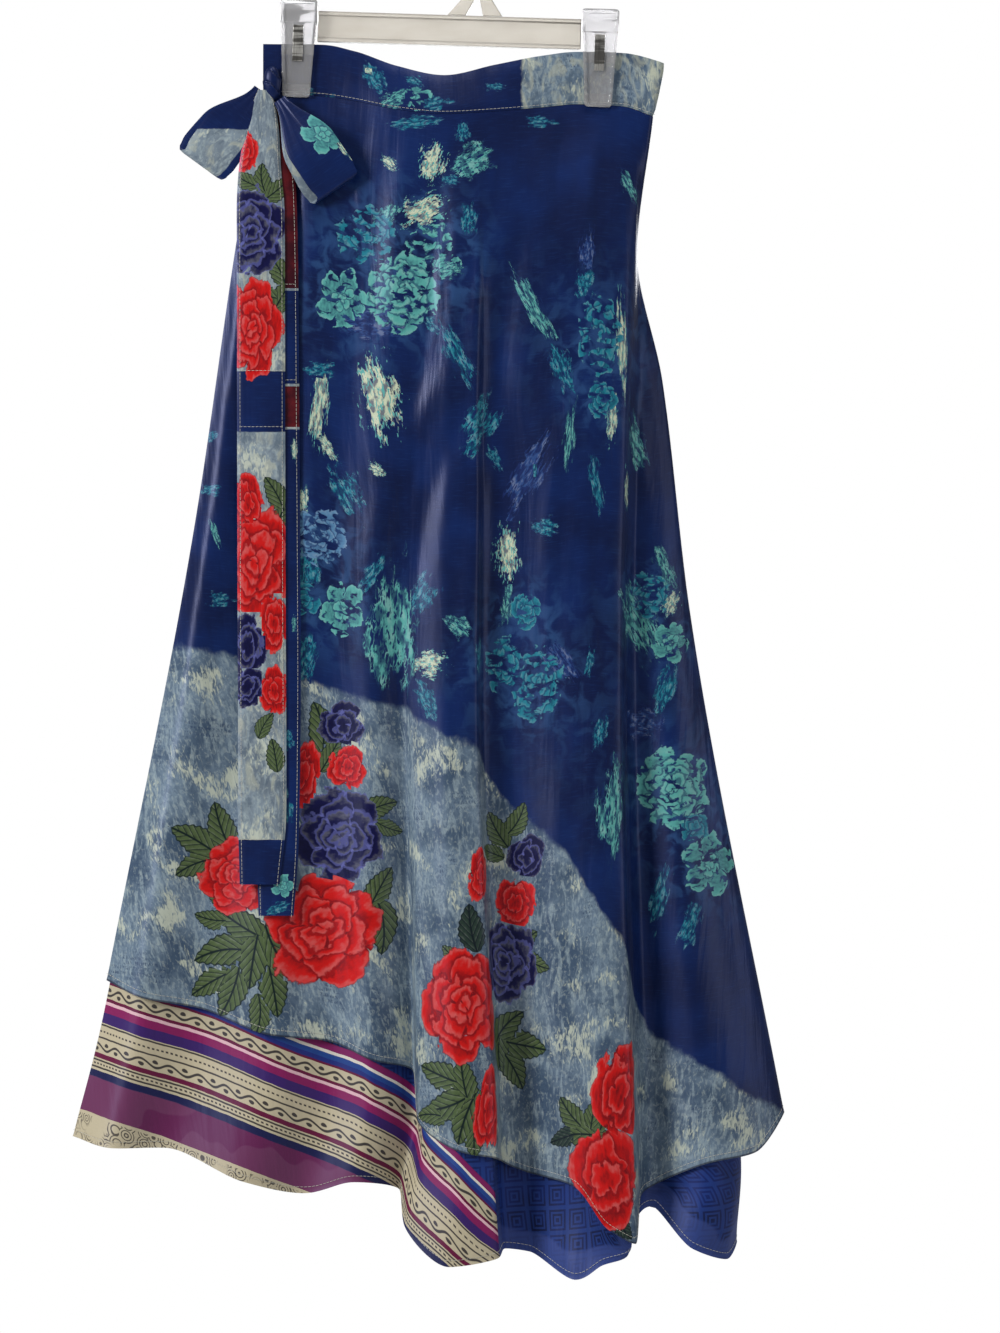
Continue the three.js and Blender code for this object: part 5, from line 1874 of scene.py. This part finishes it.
@dataclass
class Bow:
    """The tied bow: its knot, two loops and two tails. A strip has as many points over its width as
    across says, and thins to a share of its wall, edge_wall, at each edge."""

    wrap: Wrap
    groups: MotifGroups
    width: float = 38.5
    wall: float = 1.5
    crown: float = 0.7
    across: int = 13
    edge_wall: float = 0.35
    knot_middle: tuple[float, float] = (-144.6, -126)
    knot_half: tuple[float, float, float] = (5.4, 5.0, 14)
    loop_root_width: float = 11

    def __post_init__(self) -> None:
        """Sets out the tails and loops."""
        width = self.width
        self.tails = (
            TailSizes(
                "tie_tail_rear",
                ((-146, 8, -140.4), (-144, 24, -170), (-143, 36, -210), (-142, width, -300),
                 (-140, width, -560), (-139, 34, -730), (-140, 28, -792)),
                1.2,
                ((0, Patch.MAROON), (-290, Patch.NAVY), (-368, Patch.MAROON), (-404, Patch.NAVY)),
                (REAR_TIE_MOTIFS, ()),
            ),
            TailSizes(
                "tie_tail_front",
                ((-152, 8, -131), (-151.5, 18, -141), (-152, 26, -162), (-153.8, 34, -196),
                 (-153, width, -240), (-152, width, -520), (-151, width, -700), (-153, 32, -767)),
                4.2,
                ((0, Patch.SLATE), (-358, Patch.NAVY), (-405, Patch.SLATE), (-732, Patch.NAVY)),
                (TIE_LEAVES, TIE_BLOOMS),
            ),
        )
        self.loops = (
            LoopSizes("tie_loop_left", (-154, -130.6), -12.4, -126, 74, 43, -6, 5, 3.6,
                      Patch.NAVY, -163, 0.74, Patch.NAVY, ((), ())),
            LoopSizes("tie_loop_right", (-138.2, -138.8), -15.6, -56, 83, 41, -7, 14, 3.4,
                      Patch.NAVY, -400, 2, Patch.SLATE, ((), LOOP_MOTIFS)),
        )

    def build(self) -> None:
        """Makes the bow's five pieces."""
        satin = PiecedSatin("tie_satin", groups=self.groups, bleached=0.16).material()
        for tail in self.tails:
            self.finish_strip(self.tail_panel(tail), tail.node, satin)
        for loop in self.loops:
            self.finish_strip(self.loop_panel(loop), loop.node, satin)
        self.knot(satin)

    def finish_strip(self, panel: Panel, node: str, satin: bpy.types.Material) -> None:
        """Builds a strip and puts it in its solid's place.

        Args:
            panel: the strip.
            node: the solid's node.
            satin: the strip's finish.
        """
        piece = panel.build(satin, satin)
        dress(piece, [node])

    @staticmethod
    def fullness(places: Array) -> Array:
        """How full a strip is across its width: 0 at its pressed edges (-1 and 1), then soon 1."""
        pressed = 0.06
        return 1 - np.exp(-(((1 - np.abs(places)) / pressed) ** 2))

    def skin(self, z: float) -> float:
        """How far forward the skirt comes behind the tails.

        Args:
            z: the height.

        Returns:
            The foremost y at about that height.
        """
        left, right = -176, -118
        end = self.wrap.column_of("near crest")
        near = 30
        found = []
        for height in (z - near, z, z + near):
            grid = self.wrap.outer[:, :end + 1]
            top, hem = grid[0, :, 2], grid[-1, :, 2]
            share = np.clip((height - top) / (hem - top), 0, 1) * (len(grid) - 1)
            j = np.minimum(share.astype(int), len(grid) - 2)
            columns = np.arange(end + 1)
            points = mix(grid[j, columns], grid[j + 1, columns], (share - j)[:, None])
            inside = (points[:, 0] >= left) & (points[:, 0] <= right)
            found.append(points[inside, 1].min())
        return min(found)

    def tail_panel(self, tail: TailSizes) -> Panel:
        """A tail: a flat tube of cloth that hangs down the skirt.

        Args:
            tail: its sizes.

        Returns:
            The panel.
        """
        rows, across, samples, skin_step = 170, self.across, 600, 5
        fine = SmoothLine(tail.stations).at(np.linspace(0, len(tail.stations) - 1, samples))
        heights = np.linspace(fine[0, 2], fine[-1, 2], rows + 1)
        falling = -fine[:, 2]
        line = np.stack([np.interp(-heights, falling, fine[:, k]) for k in range(3)], axis=1)
        skins = np.array([self.skin(z) for z in line[::skin_step, 2]])
        y = np.interp(np.arange(rows + 1), np.arange(0, rows + 1, skin_step), skins) - tail.lift
        side = np.linspace(-1, 1, across)
        crown = self.crown * (1 - side ** 2)
        edge = self.fullness(side)
        x = line[:, :1] + side[None] * line[:, 1:2] / 2
        z = np.repeat(line[:, 2:3], across, axis=1)
        ripple_height, ripple_length = 0.3, 23
        ripple = ripple_height * np.sin(line[:, 2:3] / ripple_length) * np.abs(side[None])
        middle = y[:, None] - crown[None] - ripple
        face_y = middle - self.wall * (self.edge_wall + (1 - self.edge_wall) * edge[None])
        back_y = middle - self.wall * self.edge_wall * (1 - edge[None])
        face, back = np.stack([x, face_y, z], axis=-1), np.stack([x, back_y, z], axis=-1)
        which = np.zeros(face.shape[:2])
        for start, patch in tail.patches:
            which[line[:, 2] <= start] = patch.value
        which[0] = which[1]
        return self.strip_panel(f"{tail.node}_cloth", face, back, which, tail.motifs)

    def strip_panel(self, name: str, face: Array, back: Array, which: Array, motifs: Prints) -> Panel:
        """A strip with its patches.

        Args:
            name: the piece's name.
            face, back: its two grids.
            which: the number of the patch at each point.
            motifs: its two printed layers.

        Returns:
            The panel.
        """
        across = face.shape[1]
        ground = np.zeros((*face.shape[:2], 3))
        ground[..., 0] = which
        steps = np.linalg.norm(np.diff(face[:, across // 2], axis=0), axis=1)
        down = np.concatenate([[0], np.cumsum(steps)])
        over = np.linspace(0, self.width, across)
        cut = np.stack(np.broadcast_arrays(over[None], down[:, None]), axis=-1) / 100
        return Panel(name, face, back, cut, ground, motifs)

    def loop_panel(self, loop: LoopSizes) -> Panel:
        """A loop: it leaves the knot, turns back at its end and returns behind itself.

        Args:
            loop: its sizes.

        Returns:
            The panel.
        """
        ply_steps, turn_steps, across = 34, 14, self.across
        angle = math.radians(loop.way)
        out = np.array([math.cos(angle), 0, math.sin(angle)])
        side = np.array([-out[2], 0, out[0]])
        root = np.array([loop.root[0], 0, loop.root[1]])
        touching = self.wall + 0.4
        arch, parting, widening = 0.75, 1.6, 1.75
        gather, gather_reach, gather_waves, gathered = 0.7, 0.3, 3.5, 0.4

        def centre(u: float) -> float:
            """The y of the loop's middle, at a share of its length."""
            return loop.y - loop.bulge * math.sin(math.pi * arch * u)

        def apart(u: float) -> float:
            """Half the way between the plies."""
            return float(mix(touching, loop.ply, ease(min(1, u * parting))))

        # Each station: its share of the length, the way out, y, the slip to one side, and how far the
        # ply faces ahead and behind.
        stations = []
        for u in np.arange(ply_steps + 1) / ply_steps:
            stations.append((u, u * loop.length, centre(u) - apart(u), 0, 0, -1))
        for n in range(1, turn_steps):
            turn = math.pi * n / turn_steps
            ahead, behind = math.sin(turn), -math.cos(turn)
            end_y = centre(1) + loop.ply * behind
            slipped = loop.slip * n / turn_steps
            stations.append((1, loop.length + loop.ply * ahead, end_y, slipped, ahead, behind))
        for u in np.arange(ply_steps, -1, -1) / ply_steps:
            stations.append((u, u * loop.length, centre(u) + apart(u), loop.slip * ease(u), 0, 1))
        u, reach, y, slip, ahead, behind = np.array(stations, float).T
        width = mix(self.loop_root_width, loop.end_width, ease(np.minimum(1, u * widening)))
        rounded, last_part = 0.07, 0.12
        width = width * (1 - rounded * ease(np.clip((u - 1 + last_part) / last_part, 0, 1)))
        places = np.linspace(-1, 1, across)
        edge = self.fullness(places)
        fading = gather * np.exp(-((u / gather_reach) ** 2))
        gathers = fading[:, None] * np.cos(gather_waves * np.pi * places)[None]

        def row_points(depth: Array) -> Array:
            """The strip's points at a depth below its outer face.

            Args:
                depth: that depth at each point.

            Returns:
                Rows by columns by 3.
            """
            onward = reach[:, None] - depth * ahead[:, None]
            off = places[None] * width[:, None] / 2 + slip[:, None]
            points = root + onward[..., None] * out + off[..., None] * side
            points[..., 1] = y[:, None] - depth * behind[:, None]
            return points

        thin = self.wall * self.edge_wall * (1 - edge)[None]
        face = row_points(thin + gathers * gathered)
        back = row_points(self.wall - thin + gathers * gathered)
        seam_blend = 6
        below_seam = np.clip(0.5 + (loop.slate_below - face[..., 2]) / seam_blend, 0, 1)
        which = mix(loop.upper.value, Patch.SLATE.value, below_seam)
        which = np.where(places[None] > loop.dark_from, Patch.NAVY.value, which)
        which = np.where(behind[:, None] > 0, loop.rear.value, which)
        return self.strip_panel(f"{loop.node}_cloth", face, back, which, loop.motifs)

    def knot(self, satin: bpy.types.Material) -> None:
        """The knot: a small lump with the strip wound round it, edge over edge.

        Args:
            satin: the tie's finish.
        """
        rounds, rings, pole = 72, 48, 0.06
        fuller, set_forward, taller = 1.3, 1.07, 1.04
        rise, groove, groove_width = 0.2, 0.2, 0.1
        half_x, half_y, half_z = self.knot_half
        half_x, half_z = half_x * fuller, half_z * taller
        theta = np.linspace(0, 2 * np.pi, rounds, endpoint=False)
        phi = np.linspace(pole, np.pi - pole, rings)
        turn, tilt = np.meshgrid(theta, phi)
        winding = (np.cos(tilt) * 1.3 + 0.55 * np.cos(turn + 0.6) + 0.2 * np.cos(2 * turn)) % 1.0
        step = 1 + rise * (winding - 0.5) - groove * np.exp(-((winding / groove_width) ** 2))
        x = self.knot_middle[0] + half_x * np.sin(tilt) * np.cos(turn) * step
        middle_y = BAND[0].y - self.wrap.seam_gap - half_y * set_forward
        y = middle_y + half_y * np.sin(tilt) * np.sin(turn) * step
        z = self.knot_middle[1] + half_z * np.cos(tilt)
        points = np.stack([x, y, z], axis=-1).reshape(-1, 3) * MM
        number = np.arange(rings * rounds).reshape(rings, rounds)
        after = np.roll(number, -1, axis=1)
        quads = np.stack([number[:-1], number[1:], after[1:], after[:-1]], axis=-1).reshape(-1, 4)
        faces = quads.tolist() + [number[0].tolist(), number[-1][::-1].tolist()]
        mesh = bpy.data.meshes.new("tie_knot_cloth")
        mesh.from_pydata(points.tolist(), [], faces)
        mesh.materials.append(satin)
        corners = np.zeros(len(mesh.loops), np.int32)
        mesh.loops.foreach_get("vertex_index", corners)
        around, along = 0.06, 0.14
        flat = np.stack([turn * around, tilt * along], axis=-1).reshape(-1, 2)[corners]
        mesh.uv_layers.new(name=CUT).data.foreach_set("uv", flat.reshape(-1).astype(np.float32))
        mesh.shade_smooth()
        dress(put_in_scene("tie_knot_cloth", mesh), ["tie_knot"])


# ---- The hanger ---------------------------------------------------------------------------


@dataclass
class Hanger:
    """The moulded hanger and its clips: the solids' own shapes, with their edges eased."""

    nodes: dict[str, bpy.types.Object]
    edge: float = 0.6

    def build(self) -> None:
        """Copies each solid, eases its edges and gives it its finish."""
        plastic = FrostedPlastic().material()
        clearer = FrostedPlastic(
            "clip_plastic", roughness=0.07, transmission=0.75,
            deep=dye(208, 207, 208), pale=dye(232, 232, 234),
        ).material()
        steel = SpringSteel().material()
        names = [n for n in sorted(self.nodes) if n.startswith(("hanger_", "clip_"))]
        for name in names:
            sprung = name.endswith("_spring")
            piece = self.eased_copy(name, self.edge * (0.4 if sprung else 1))
            piece.data.materials.clear()
            moulded = clearer if name.startswith("clip_") else plastic
            piece.data.materials.append(steel if sprung else moulded)
            dress(piece, [name])

    def eased_copy(self, name: str, width: float) -> bpy.types.Object:
        """A copy of a solid with its edges rounded.

        Args:
            name: the node.
            width: how far the rounding reaches from each edge.

        Returns:
            The new object.
        """
        mesh = self.nodes[name].data.copy()
        mesh.name = f"{name}_moulded"
        build = bmesh.new()
        build.from_mesh(mesh)
        bmesh.ops.remove_doubles(build, verts=build.verts, dist=1e-6)
        if not name.startswith("clip_"):
            nearly_flat = math.radians(1)
            bmesh.ops.dissolve_limit(build, angle_limit=nearly_flat, verts=build.verts, edges=build.edges)
        bmesh.ops.recalc_face_normals(build, faces=build.faces)
        build.to_mesh(mesh)
        build.free()
        piece = put_in_scene(mesh.name, mesh)
        bevel = piece.modifiers.new("eased", "BEVEL")
        bevel.width = width * MM
        bevel.segments = 2
        bevel.limit_method = "ANGLE"
        bevel.angle_limit = math.radians(35)
        mesh.shade_smooth()
        mesh.set_sharp_from_angle(angle=math.radians(40))
        return piece


# ---- Sewing -------------------------------------------------------------------------------


@dataclass
class Sewing:
    """Rows of machine stitches, laid along lines by Geometry Nodes."""

    pitch: float = 3.2
    length: float = 2.3
    thick: float = 0.34

    def __post_init__(self) -> None:
        """Makes the thread and the tree."""
        self.thread = Thread().material()
        self.tree = self.stitch_tree()

    def stitch_tree(self) -> bpy.types.NodeTree:
        """The tree: a line in, and a stitch at each step along it out.

        Returns:
            The finished tree.
        """
        tree = bpy.data.node_groups.new("stitch_row", "GeometryNodeTree")
        tree.interface.new_socket("Geometry", in_out="INPUT", socket_type="NodeSocketGeometry")
        for name in ("Pitch", "Length", "Thickness"):
            tree.interface.new_socket(name, in_out="INPUT", socket_type="NodeSocketFloat")
        tree.interface.new_socket("Geometry", in_out="OUTPUT", socket_type="NodeSocketGeometry")
        pen = Drawing(tree)
        line, pitch, length, thick = pen.node("NodeGroupInput").outputs[:4]
        curve = pen.fed("GeometryNodeMeshToCurve", {0: line}).outputs[0]
        even = pen.fed("GeometryNodeResampleCurve", {"Curve": curve, "Length": pitch}, mode="LENGTH")
        shape = {"Vertices": 5, "Radius": pen.times(thick, 0.5), "Depth": length}
        stitch = pen.fed("GeometryNodeMeshCylinder", shape, fill_type="NGON").outputs["Mesh"]
        tangent = pen.node("GeometryNodeInputTangent").outputs[0]
        turn = pen.fed("FunctionNodeAlignRotationToVector", {"Vector": tangent}, axis="Z").outputs[0]
        laid = {"Points": even.outputs[0], "Instance": stitch, "Rotation": turn}
        copies = pen.fed("GeometryNodeInstanceOnPoints", laid).outputs[0]
        real = pen.fed("GeometryNodeRealizeInstances", {0: copies}).outputs[0]
        coloured = pen.fed("GeometryNodeSetMaterial", {"Geometry": real, "Material": self.thread})
        pen.fed("NodeGroupOutput", {0: coloured.outputs[0]})
        return tree

    def rows(self, name: str, lines: Sequence[Array], slot: str) -> bpy.types.Object:
        """One piece with a row of stitches along each line.

        Args:
            name: the piece's name.
            lines: each line's points, in millimetres.
            slot: the material slot of the cloth that is sewn; not used.

        Returns:
            The piece.
        """
        points, edges = [], []
        for line in lines:
            start = len(points)
            points.extend((line * MM).tolist())
            edges.extend((k, k + 1) for k in range(start, len(points) - 1))
        mesh = bpy.data.meshes.new(name)
        mesh.from_pydata(points, edges, [])
        carrier = put_in_scene(f"{name}_line", mesh)
        modifier = carrier.modifiers.new("stitches", "NODES")
        modifier.node_group = self.tree
        sizes = {"Pitch": self.pitch * MM, "Length": self.length * MM, "Thickness": self.thick * MM}
        for item in self.tree.interface.items_tree:
            if item.item_type == "SOCKET" and item.in_out == "INPUT" and item.name in sizes:
                modifier[item.identifier] = sizes[item.name]
        evaluated = carrier.evaluated_get(bpy.context.evaluated_depsgraph_get())
        sewn = bpy.data.meshes.new_from_object(evaluated)
        sewn.name = name
        bpy.data.objects.remove(carrier)
        return dress(put_in_scene(name, sewn), [])


# ---- The studio ---------------------------------------------------------------------------


@dataclass
class Studio:
    """Floor, light and camera."""

    frame_height: float = 1.0664
    middle: tuple[float, float] = (0.0384, -0.5934)
    distance: float = 4.0
    front: float = -0.025
    floor_height: float = -1.5
    floor_radius: float = 2.3
    sensor: float = 36.0

    def build(self) -> None:
        """Builds the studio round the object."""
        self.camera()
        self.floor()
        self.light("key", (-2.5, -1.9, 0.6), 1.0, 92)
        self.light("fill", (2.6, -1.3, -0.3), 1.1, 9)
        self.light("top", (0.5, -1.0, 1.9), 1.2, 22)
        self.light("rim", (0.6, 2.6, 0.4), 1.8, 40)
        self.world()

    def camera(self) -> None:
        """The camera, level with the middle of the skirt."""
        data = bpy.data.cameras.new("camera")
        data.sensor_fit = "VERTICAL"
        data.sensor_height = self.sensor
        data.lens = self.sensor * self.distance / self.frame_height
        camera = put_in_scene("camera", data)
        camera.location = (self.middle[0], self.front - self.distance, self.middle[1])
        camera.rotation_euler = (math.radians(90), 0, 0)
        bpy.context.scene.camera = camera

    def floor(self) -> None:
        """A round pale floor, below the frame."""
        mesh = bpy.data.meshes.new("floor")
        build = bmesh.new()
        bmesh.ops.create_circle(build, cap_ends=True, segments=96, radius=self.floor_radius)
        build.to_mesh(mesh)
        build.free()
        mesh.transform(Matrix.Translation((0, 0, self.floor_height)))
        paint, _, _ = start_finish("floor_paint", {"Base Color": dye(226, 226, 224), "Roughness": 0.8})
        mesh.materials.append(paint)
        floor = put_in_scene("floor", mesh)

    def light(self, name: str, place: tuple[float, float, float], size: float, power: float) -> None:
        """A soft square light that looks at the skirt's middle.

        Args:
            name: its name.
            place: where it stands, in metres.
            size: the length of its side, in metres.
            power: its power in watts.
        """
        data = bpy.data.lights.new(name, "AREA")
        data.size = size
        data.energy = power
        lamp = put_in_scene(name, data)
        lamp.location = place
        aim = Vector((0, 0, self.middle[1])) - Vector(place)
        lamp.rotation_euler = aim.to_track_quat("-Z", "Y").to_euler()

    def world(self) -> None:
        """White behind the object, and a softer white that lights it."""
        world = bpy.data.worlds.new("studio")
        bpy.context.scene.world = world
        world.use_nodes = True
        pen = Drawing(world.node_tree)
        background = world.node_tree.nodes["Background"]
        background.inputs["Color"].default_value = (1, 1, 1, 1)
        seen = pen.node("ShaderNodeLightPath").outputs["Is Camera Ray"]
        pen.feed(background.inputs["Strength"], pen.fade(seen, 0, 1, 0.24, 1.0))
        bpy.context.scene.view_settings.view_transform = "Standard"


def sew_tail(sewing: Sewing, bow: Bow, tail: TailSizes) -> None:
    """Sews a tail along both edges and across each join of its patches.

    Args:
        sewing: the thread and its stitch.
        bow: the bow.
        tail: the tail's sizes.
    """
    proud, from_edge, over_join = 0.12, 0.75, 0.4
    face = bow.tail_panel(tail).face + np.array([0, -proud, 0])
    rows = [mix(face[:, 0], face[:, 1], from_edge), mix(face[:, -1], face[:, -2], from_edge)]
    for join, _ in tail.patches[1:]:
        row = int(np.argmin(np.abs(face[:, bow.across // 2, 2] - join)))
        rows.append(mix(face[row - 1, 1:-1], face[row, 1:-1], over_join))
    sewing.rows(f"{tail.node}_stitches", rows, "tie_satin")


def sew_hem(sewing: Sewing, wrap: Wrap, name: str, grid: Array) -> None:
    """Sews a layer's hem, at an even height above its edge.

    Args:
        sewing: the thread and its stitch.
        wrap: the wrap.
        name: the layer's name.
        grid: its face.
    """
    rise, proud = 5.0, 0.25
    inward = level_inward(grid, wrap.columns_a_step, wrap.panel_reach)
    span = grid[-1] - grid[-2]
    share = (rise / np.linalg.norm(span, axis=1))[:, None]
    points = grid[-1] - span * share - inward[-1] * proud
    points[:, 2] = grid[-1, :, 2] + rise
    sewing.rows(f"{name}_hem_stitches", [points], f"{name}_satin")


def sew(wrap: Wrap, bow: Bow) -> None:
    """Sews the tie's edges, the waist seam and both hems.

    Args:
        wrap: the skirt's layers and band line.
        bow: the tie.
    """
    sewing = Sewing()
    for tail in bow.tails:
        sew_tail(sewing, bow, tail)
    line, rise, proud = wrap.band_line, 2.2, 0.55
    inward = level_inward(np.stack([line[:, [0, 1, 4]], line[:, [0, 1, 5]]]), 3, 1)[0]
    seam = line[:, [0, 1, 5]] + np.array([0, 0, rise]) - inward * proud
    sewing.rows("waist_seam_stitches", [seam], "waistband_satin")
    for name, grid in (("outer", wrap.outer), ("under", wrap.under)):
        sew_hem(sewing, wrap, name, grid)


def main() -> None:
    """Builds the skirt, its tie, the hanger and the studio."""
    logging.basicConfig(level=logging.INFO, format="%(message)s")
    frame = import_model()
    Studio().build()
    groups = MotifGroups()
    wrap = Wrap()
    Skirt(wrap, groups).build()
    bow = Bow(wrap, groups)
    bow.build()
    Hanger(frame["nodes"]).build()
    sew(wrap, bow)


if __name__ == "__main__":
    main()
